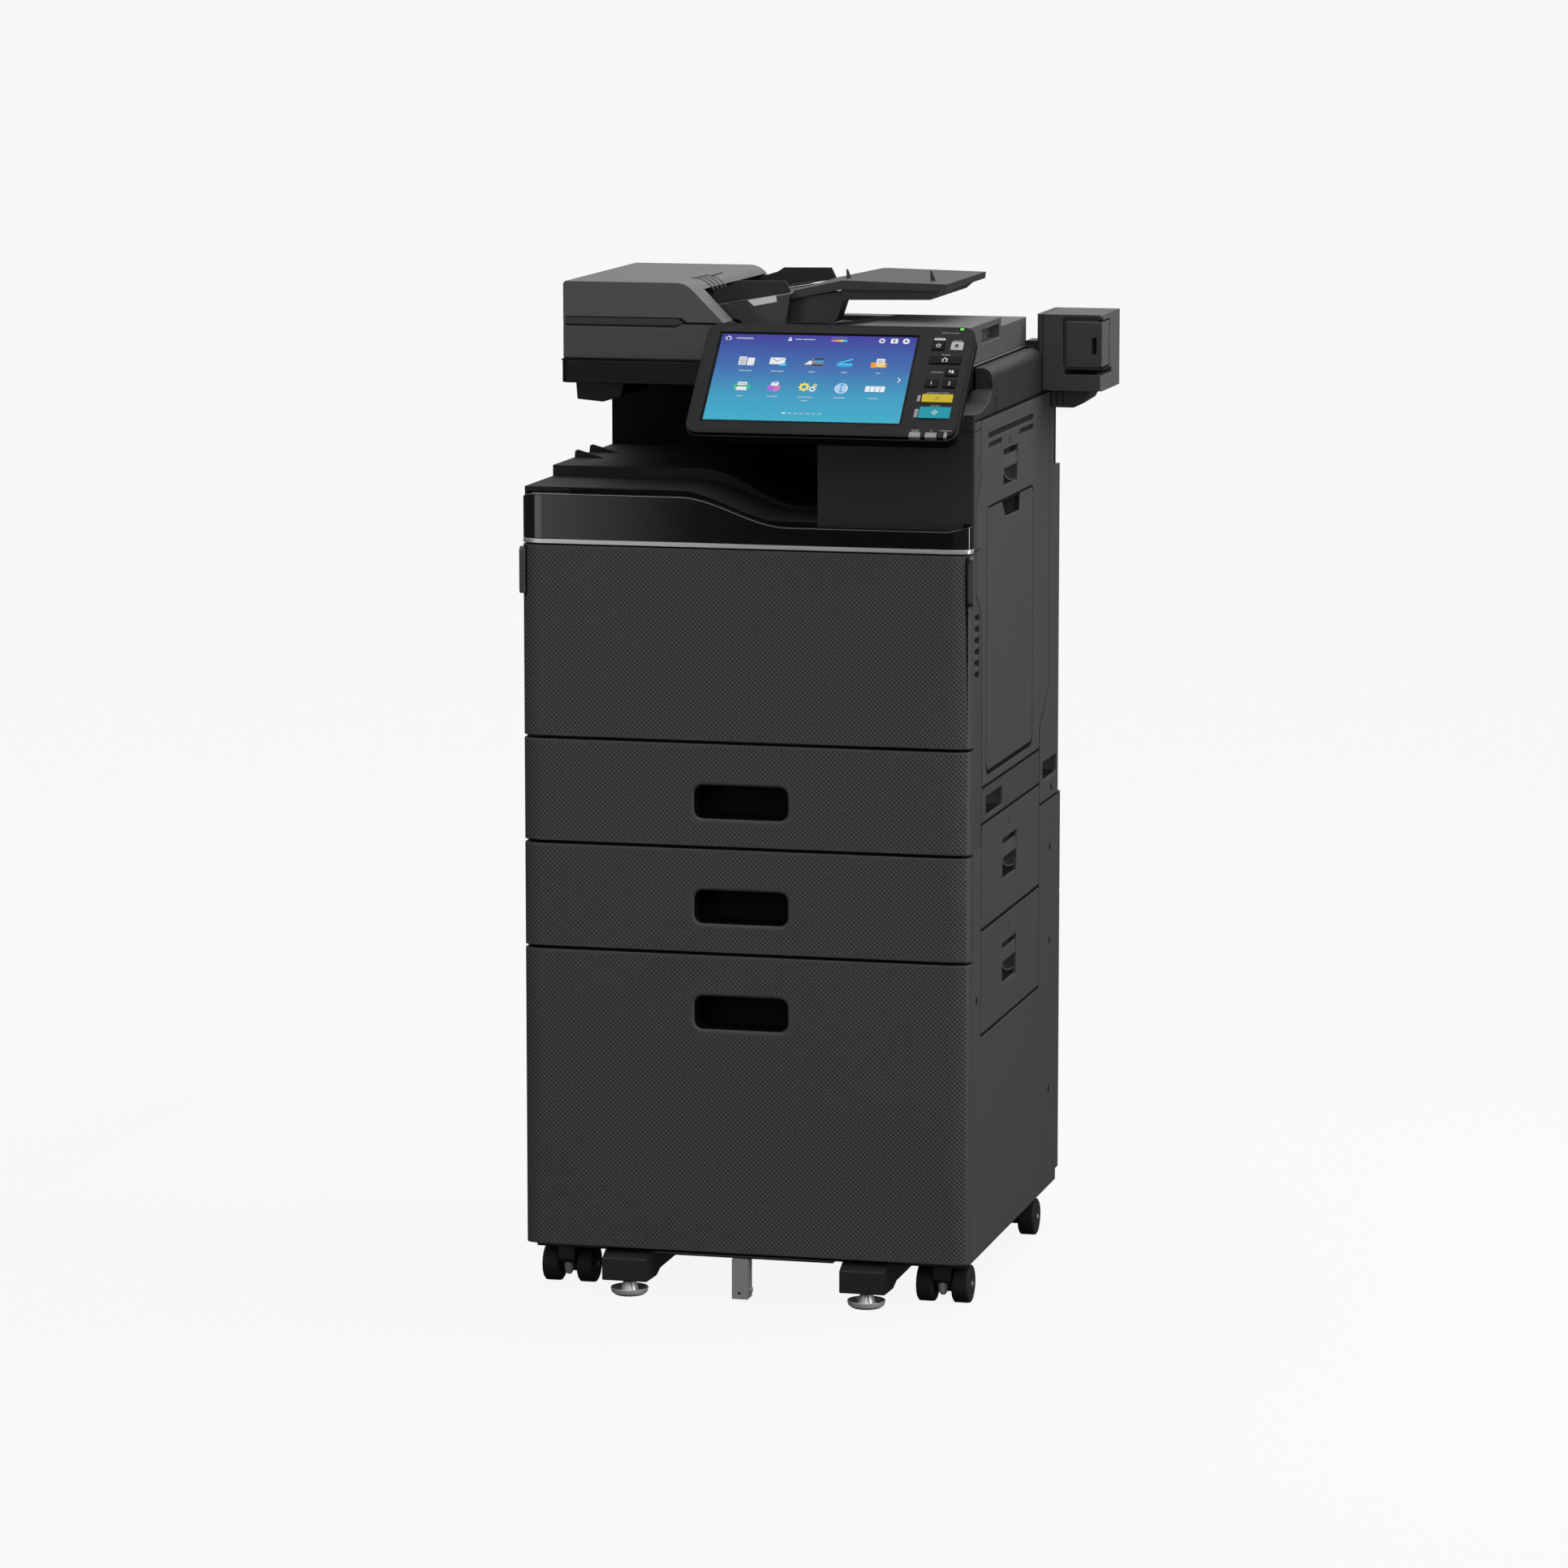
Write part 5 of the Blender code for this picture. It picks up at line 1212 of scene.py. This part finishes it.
def build_display():
    glass = prism([(-LIT_MARGIN, -SCREEN_HEIGHT - LIT_MARGIN),
                   (SCREEN_WIDTH + LIT_MARGIN, -SCREEN_HEIGHT - LIT_MARGIN),
                   (SCREEN_WIDTH + LIT_MARGIN, LIT_MARGIN), (-LIT_MARGIN, LIT_MARGIN)], "z", -0.0055,
                   GLASS_W - 0.0002)
    piece("display_glass", [glass], "key_black", "control_panel", PANEL, bevel=0.0003,
          replaces=("touch_screen",))
    lit = prism(box2(0.0, -SCREEN_HEIGHT, SCREEN_WIDTH, 0.0), "z", GLASS_W - 0.0004, GLASS_W)
    piece("display_lit_area", [lit], "sky", "control_panel", PANEL)

    shapes = []
    for kind, u, v in ((icon_pages, 39.5, -44.5), (icon_mail, 80.3, -44.5), (icon_copier, 125.7, -44.5),
                       (icon_scanner, 165.3, -44.5), (icon_fax, 209.4, -44.5), (icon_printer, 40.2, -86.5),
                       (icon_box, 81.7, -86.5), (icon_gears, 123.7, -86.5), (icon_globe, 167.7, -86.5),
                       (icon_counter, 210.6, -86.5)):
        shapes += kind(u, v)
    captions = (((8.0, 7.0), 40, -60.4), ((8.0, 7.0), 81, -60.4), ((8.0,), 125, -60.4), ((7.0,), 167, -60.4),
                ((6.0,), 210, -60.4), ((7.5,), 40, -102.1), ((3.0, 9.0), 82, -102.1),
                ((6.0, 12.0), 124, -102.1),
                ((14.0,), 168, -102.1), ((12.0,), 211, -102.1), ((8.0,), 124, -108.0))
    for words, u, v in captions:
        shapes += greeked(words, u, v, 1.5)
    for part in home_outline(9.0, -6.6, 3.6):
        shapes.append(flat(part, 0, WHITE))
    shapes += greeked((22.0,), 30.0, -6.8, 2.0, number=PALE)
    shapes.append(flat(circle((88.5, -5.6), 1.5, 16), 0, WHITE))
    shapes.append(flat([(85.8, -9.6), (91.2, -9.6), (90.4, -7.4), (86.6, -7.4)], 0, WHITE))
    shapes += greeked((8.0, 16.0), 108.0, -7.0, 1.6)
    shapes.append(flat(box2(141.5, -4.0, 162.0, -2.9), 0, GREY))
    for i, number in enumerate((PINK, ORANGE, YELLOW, CYAN)):
        shapes.append(flat(box2(141.5 + 5.1 * i, -9.4, 146.6 + 5.1 * i, -6.6), 0, number))
    cog = moved(gear(4.4, 8, 1.2), 206.5, -6.8)
    shapes.append(flat_ring(cog, moved(circle((0, 0), 1.9, 32), 206.5, -6.8), 0, WHITE))
    shapes.append(flat(box2(217.8, -10.6, 226.8, -3.0), 0, WHITE))
    shapes.append(flat(box2(221.4, -9.4, 223.2, -4.4), 1, DARK))
    shapes.append(flat(circle((237.4, -6.8), 4.4, 24), 0, WHITE))
    shapes.append(flat(circle((237.4, -6.8), 1.7, 16), 1, DARK))
    shapes.append(flat([(236.6, -67.2), (238.0, -67.2), (241.0, -71.0), (238.0, -74.8), (236.6, -74.8),
                        (239.4, -71.0)],
                       0, WHITE))
    for i in range(7):
        shapes.append(flat(box2(98.6 + 7.7 * i, -129.8, 103.4 + 7.7 * i, -128.2), 0,
                           WHITE if i == 0 else PALE))
    piece("display_icons", shapes, LIT, "control_panel", PANEL)


# ---------------------------------------------------------------- keys and lamps
KEYS = {
    "key_power": (0.2800, -0.0142, 0.0155, 0.0135, "key_black"),
    "key_energy_saver": (0.3036, -0.0142, 0.0155, 0.0135, "key_grey"),
    "key_home": (0.2920, -0.0374, 0.0395, 0.0125, "key_black"),
    "key_access": (0.3034, -0.0572, 0.0155, 0.0125, "key_black"),
    "key_one": (0.2808, -0.0762, 0.0155, 0.0125, "key_black"),
    "key_two": (0.3036, -0.0762, 0.0155, 0.0125, "key_black"),
    "key_clear": (0.2924, -0.1005, 0.0389, 0.0132, "key_yellow"),
    "key_start": (0.2927, -0.1240, 0.0398, 0.0185, "key_teal"),
}
KEY_TOP, KEY_BOTTOM = 0.0012, -0.0035


def figure(text, u, v, size, low, high, number):
    """Digits as a closed shape, from Blender's own typeface."""
    curve = bpy.data.curves.new("figure", "FONT")
    curve.body = text
    curve.size = size
    curve.align_x = "CENTER"
    curve.align_y = "CENTER"
    curve.extrude = (high - low) / 2
    curve.resolution_u = 3
    carrier = linked(bpy.data.objects.new("figure", curve))
    bpy.context.view_layer.update()
    mesh = bpy.data.meshes.new_from_object(carrier)
    middle = (low + high) / 2
    points = [(vert.co.x + u, vert.co.y + v, vert.co.z + middle) for vert in mesh.vertices]
    faces = [list(face.vertices) for face in mesh.polygons]
    bpy.data.objects.remove(carrier)
    bpy.data.curves.remove(curve)
    bpy.data.meshes.remove(mesh)
    return points, faces, number


def key_symbols():
    """For each key, its printed symbol as outlines in millimetres from the key's middle, or digits."""
    power = [(r * sin(radians(a)), r * cos(radians(a))) for r, a in
             [(3.1, 35 + i * 29) for i in range(11)] + [(2.2, 325 - i * 29) for i in range(11)]]
    moon = [(-0.2 + 3.0 * cos(radians(a)), 3.0 * sin(radians(a))) for a in range(70, 331, 20)]
    moon += [(1.2 + 2.5 * cos(radians(a)), 0.6 + 2.5 * sin(radians(a))) for a in range(300, 99, -25)]
    head = circle((1.4, 1.3), 1.2, 12)
    shoulders = [(-0.8, -2.0), (3.6, -2.0), (3.0, -0.2), (-0.2, -0.2)]
    head_2 = circle((-2.0, 2.0), 1.0, 12)
    shoulders_2 = [(-3.8, -0.8), (-1.4, -0.8), (-1.0, 0.7), (-3.2, 0.7)]
    strokes = [[(-3.0, -2.2), (-2.2, -2.2), (0.2, 2.2), (-0.6, 2.2)],
               [(-0.8, -2.2), (0.0, -2.2), (2.4, 2.2), (1.6, 2.2)]]
    diamond = [(0.0, 4.2), (4.2, 0.0), (0.0, -4.2), (-4.2, 0.0)]
    hole = [(0.0, 3.2), (3.2, 0.0), (0.0, -3.2), (-3.2, 0.0)]
    bar = box2(-0.5, -1.9, 0.5, 1.9)
    return {
        "key_power": ([power, box2(-0.45, 0.4, 0.45, 3.6)], [], "print_white"),
        "key_energy_saver": ([moon], [], "print_dark"),
        "key_home": (home_outline(0.0, 0.0, 3.4), [], "print_white"),
        "key_access": ([head, shoulders, head_2, shoulders_2], [], "print_white"),
        "key_clear": (strokes, [], "print_dark"),
        "key_start": ([bar], [(diamond, hole)], "print_white"),
    }


def build_keys():
    symbols = key_symbols()
    for name, (u, v, width, height, finish) in KEYS.items():
        cap = prism(moved(rounded((-width / 2, -height / 2), (width / 2, height / 2), 0.0012, 4), u, v), "z",
                    KEY_BOTTOM, KEY_TOP)
        piece(f"{name}_cap", [cap], finish, name, PANEL, bevel=0.0005, segments=3,
              replaces=(name,))
        low, high = KEY_TOP + 0.00002, KEY_TOP + 0.00014
        if name in ("key_one", "key_two"):
            digit = "1" if name == "key_one" else "2"
            shapes, ink = [figure(digit, u, v, 0.0072, low, high, 0)], "print_white"
        else:
            outlines, rings, ink = symbols[name]
            shapes = [prism(moved(mm(part), u, v), "z", low, high) for part in outlines]
            shapes += [ring_plate(moved(mm(a), u, v), moved(mm(b), u, v), "z", low, high) for a, b in rings]
        piece(f"{name}_symbol", shapes, ink, name, PANEL)


INK = (0.00002, 0.00010)        # how far the print stands off the panel
# Centre u, centre v, the widths of the bars that stand for the words, and height, all in millimetres.
PRINT_LINES = (
    (292.0, 7.6, (9.5, 11.0), 1.5),
    (303.6, -4.6, (11.5,), 1.3), (303.6, -6.5, (9.0,), 1.3),
    (292.0, -28.6, (11.0,), 1.7),
    (285.5, -57.4, (15.0,), 1.7),
    (292.4, -91.2, (17.0, 11.5), 1.7),
    (292.6, -112.2, (13.0,), 1.7),
    (273.4, -152.4, (10.5,), 1.4), (273.4, -154.6, (8.5,), 1.4),
    (311.6, -152.4, (15.0,), 1.4), (311.6, -154.6, (5.0,), 1.4),
)


def build_panel_print():
    """Plain bars where the captions of the keys and lamps are, the seam lines, and a light ring round the
    housing's edge that is a painted highlight.
    """
    shapes = []
    for u, v, words, height in PRINT_LINES:
        at = u - (sum(words) + 1.4 * (len(words) - 1)) / 2
        for width in words:
            left = at
            while left < at + width - 0.3:
                letter = min(1.25, at + width - left)
                shapes.append(prism(mm(box2(left, v - height / 2, left + letter * 0.62, v + height / 2)), "z",
                                    *INK))
                left += 1.6
            at += width + 1.4
    shapes.append(prism(mm(rounded((273.0, -4.4), (287.0, -1.2), 1.5, 4)), "z", *INK, 1))
    for i in range(5):
        shapes.append(prism(mm(box2(274.8 + 2.2 * i, -3.5, 276.2 + 2.2 * i, -2.1)), "z", 0.00011, 0.00018, 2))
    shapes.append(prism(mm([(292.6, -151.2), (293.8, -151.2), (293.4, -153.6), (292.8, -153.6)]), "z", *INK))
    shapes.append(prism(mm(circle((293.0, -154.6), 0.5, 10)), "z", *INK))
    piece("panel_print", shapes, ["print_dim", "print_white", "print_dark"], "control_panel", PANEL)
    # the outer ring is lighter grey: painted highlight along the housing's edge
    outer = rounded((-0.0202, -0.1637), (0.3242, 0.0177), 0.0162, 10)
    inner = rounded((-0.0192, -0.1627), (0.3232, 0.0167), 0.0152, 10)
    seam_outer = rounded((-0.0178, -0.1613), (0.3218, 0.0153), 0.0140, 10)
    seam_inner = rounded((-0.0172, -0.1607), (0.3212, 0.0147), 0.0134, 10)
    shapes = [ring_plate(outer, inner, "z", -0.0072, -0.0058),
              ring_plate(seam_outer, seam_inner, "z", -0.0002, 0.00006, 1)]
    piece("panel_highlight_and_seam", shapes, ["rim", "pocket"], "control_panel", PANEL)
    frame_outer = rounded((-0.0036, -0.1452), (0.2542, 0.0036), 0.0020, 4)
    frame_inner = rounded((-0.0026, -0.1442), (0.2532, 0.0026), 0.0014, 4)
    piece("screen_surround", [ring_plate(frame_outer, frame_inner, "z", -0.0030, 0.00010)], "pocket",
          "control_panel",
          PANEL)


def build_panel_details():
    lamps = [
        block((0.2669, 0.2709), (-0.1061, -0.0955), (-0.0008, 0.0004)),
        block((0.2668, 0.2718), (-0.1319, -0.1181), (-0.0008, 0.0004)),
    ]
    piece("key_lamps", lamps, "led_off", "control_panel", PANEL, bevel=0.0003)
    tabs = []
    for u, width in ((0.2732, 0.0143), (0.2935, 0.0143), (0.3119, 0.0040)):
        tabs.append(prism([(-0.1642, 0.0006), (-0.1560, 0.0006), (-0.1560, -0.0006), (-0.1632, -0.0006),
                           (-0.1632, -0.0050), (-0.1642, -0.0050)], "x", u - width / 2, u + width / 2))
    piece("status_lamps", tabs, "led_off", "control_panel", PANEL, bevel=0.0003)
    piece("power_lamp", [block((0.3032, 0.3078), (0.0128, 0.0172 - 0.0014), (-0.0004, 0.0005))], "led_on",
          "control_panel", PANEL, bevel=0.0002)


# ---------------------------------------------------------------- scene
def board(name, corners):
    """A flat sheet that lights or backs the picture: its mesh and its object."""
    mesh = bpy.data.meshes.new(name)
    mesh.from_pydata(corners, [], [[0, 1, 2, 3]])
    return mesh, linked(bpy.data.objects.new(name, mesh))


def build_stage():
    """The pale floor, which runs out of sight."""
    reach = 120.0
    floor, made = board("floor", [(-reach, -reach, 0.0), (reach, -reach, 0.0), (reach, reach, 0.0),
                                  (-reach, reach, 0.0)])
    made.location.z = -0.0005
    finish, _, _, shader = new_material("pale_floor")
    set_inputs(shader, Base_Color=(0.035, 0.035, 0.035, 1.0), Roughness=0.9, Specular_IOR_Level=0.0,
               Emission_Color=(1.0, 1.0, 1.0, 1.0), Emission_Strength=0.905)
    floor.materials.append(finish)
    made.visible_glossy = False
    made.visible_diffuse = False


def build_reflection_card():
    """A card that only mirror-like surfaces see: bright at its left, dark at its right."""
    x0, x1, y, z0, z1 = -2.2, 0.2, -3.0, -0.3, 1.2
    mesh, made = board("reflection_card", [(x0, y, z0), (x1, y, z0), (x1, y, z1), (x0, y, z1)])
    finish = bpy.data.materials.new("card_glow")
    finish.use_nodes = True
    nodes, links = finish.node_tree.nodes, finish.node_tree.links
    nodes.clear()
    output = nodes.new("ShaderNodeOutputMaterial")
    split = nodes.new("ShaderNodeSeparateXYZ")
    links.new(nodes.new("ShaderNodeTexCoord").outputs["Object"], split.inputs[0])
    fade = add_node(nodes, "ShaderNodeMapRange", **{"From_Min": -1.35, "From_Max": -0.84, "To_Min": 2.2,
                                                    "To_Max": 0.0})
    links.new(split.outputs["X"], fade.inputs["Value"])
    glow = nodes.new("ShaderNodeEmission")
    links.new(fade.outputs[0], glow.inputs["Strength"])
    links.new(glow.outputs[0], output.inputs["Surface"])
    mesh.materials.append(finish)
    made.visible_camera = False
    made.visible_diffuse = False
    made.visible_shadow = False


def build_flag():
    """A dark board left of the machine that keeps the sky's light off its left edges."""
    x, y0, y1, z1 = -1.15, -1.6, 0.9, 2.3
    mesh, made = board("left_flag", [(x, y0, 0.0), (x, y1, 0.0), (x, y1, z1), (x, y0, z1)])
    finish, _, _, shader = new_material("flag_black")
    set_inputs(shader, Base_Color=(0.01, 0.01, 0.01, 1.0), Roughness=0.9)
    mesh.materials.append(finish)
    made.visible_camera = False
    made.visible_glossy = False
    made.visible_shadow = False


def build_light():
    world = bpy.data.worlds.new("studio")
    bpy.context.scene.world = world
    world.use_nodes = True
    nodes, links = world.node_tree.nodes, world.node_tree.links
    nodes.clear()
    output = nodes.new("ShaderNodeOutputWorld")
    way = nodes.new("ShaderNodeTexCoord").outputs["Generated"]
    split = nodes.new("ShaderNodeSeparateXYZ")
    links.new(way, split.inputs[0])
    ramp = nodes.new("ShaderNodeValToRGB")
    stops = ((0.0, 0.02), (0.42, 0.06), (0.62, 0.30), (0.85, 0.85), (1.0, 1.1))
    set_stops(ramp, [(position, (value, value, value * 1.01)) for position, value in stops])
    up = calculated(nodes, links, "MULTIPLY_ADD", split.outputs["Z"], 0.5, 0.5)
    links.new(up, ramp.inputs["Fac"])
    sky = add_node(nodes, "ShaderNodeBackground", Strength=1.0)
    links.new(ramp.outputs["Color"], sky.inputs["Color"])
    backdrop = add_node(nodes, "ShaderNodeBackground", Color=(0.93, 0.93, 0.93, 1.0), Strength=1.0)
    ray = nodes.new("ShaderNodeLightPath")
    mix = nodes.new("ShaderNodeMixShader")
    links.new(ray.outputs["Is Camera Ray"], mix.inputs[0])
    links.new(sky.outputs[0], mix.inputs[1])
    links.new(backdrop.outputs[0], mix.inputs[2])
    links.new(mix.outputs[0], output.inputs["Surface"])

    def softbox(name, place, target, size, power):
        data = bpy.data.lights.new(name, "AREA")
        data.shape = "RECTANGLE"
        data.size, data.size_y = size
        data.energy = power
        made = linked(bpy.data.objects.new(name, data))
        made.location = place
        made.rotation_euler = (Vector(target) - Vector(place)).to_track_quat("-Z", "Y").to_euler()
        made.visible_camera = False
        return made

    build_reflection_card()
    build_flag()
    softbox("right_softbox", (1.6, 0.8, 2.3), (0.25, 0.2, 0.9), (1.1, 1.1), 20.0)
    softbox("corner_strip", (2.46, -0.78, 0.75), (0.25, -0.22, 0.75), (0.30, 1.5), 18.0)
    softbox("top_softbox", (0.2, 0.35, 3.6), (0.0, 0.0, 1.2), (2.6, 2.6), 70.0)
    softbox("front_softbox", (0.9, -3.8, 2.4), (0.0, 0.0, 0.8), (1.8, 2.2), 20.5)


def build_camera():
    data = bpy.data.cameras.new("camera")
    data.lens = 148.69
    data.sensor_width = 36.0
    data.clip_end = 400.0
    made = linked(bpy.data.objects.new("camera", data))
    made.location = (1.96234, -8.10058, 1.89904)
    made.rotation_euler = (radians(90 - 8.5816), 0.0, radians(13.894))
    bpy.context.scene.camera = made


def main():
    build_camera()
    build_light()
    build_stage()
    build_plain_nodes()
    build_fronts()
    build_side_door()
    build_columns()
    build_access_doors()
    build_side_details()
    build_deck_details()
    build_feeder_cover()
    build_feeder_details()
    build_tower()
    build_stapler()
    build_base_details()
    build_rear_details()
    build_inner_cover()
    build_display()
    build_keys()
    build_panel_details()
    build_panel_print()
    bpy.context.scene.view_settings.view_transform = "Standard"


main()
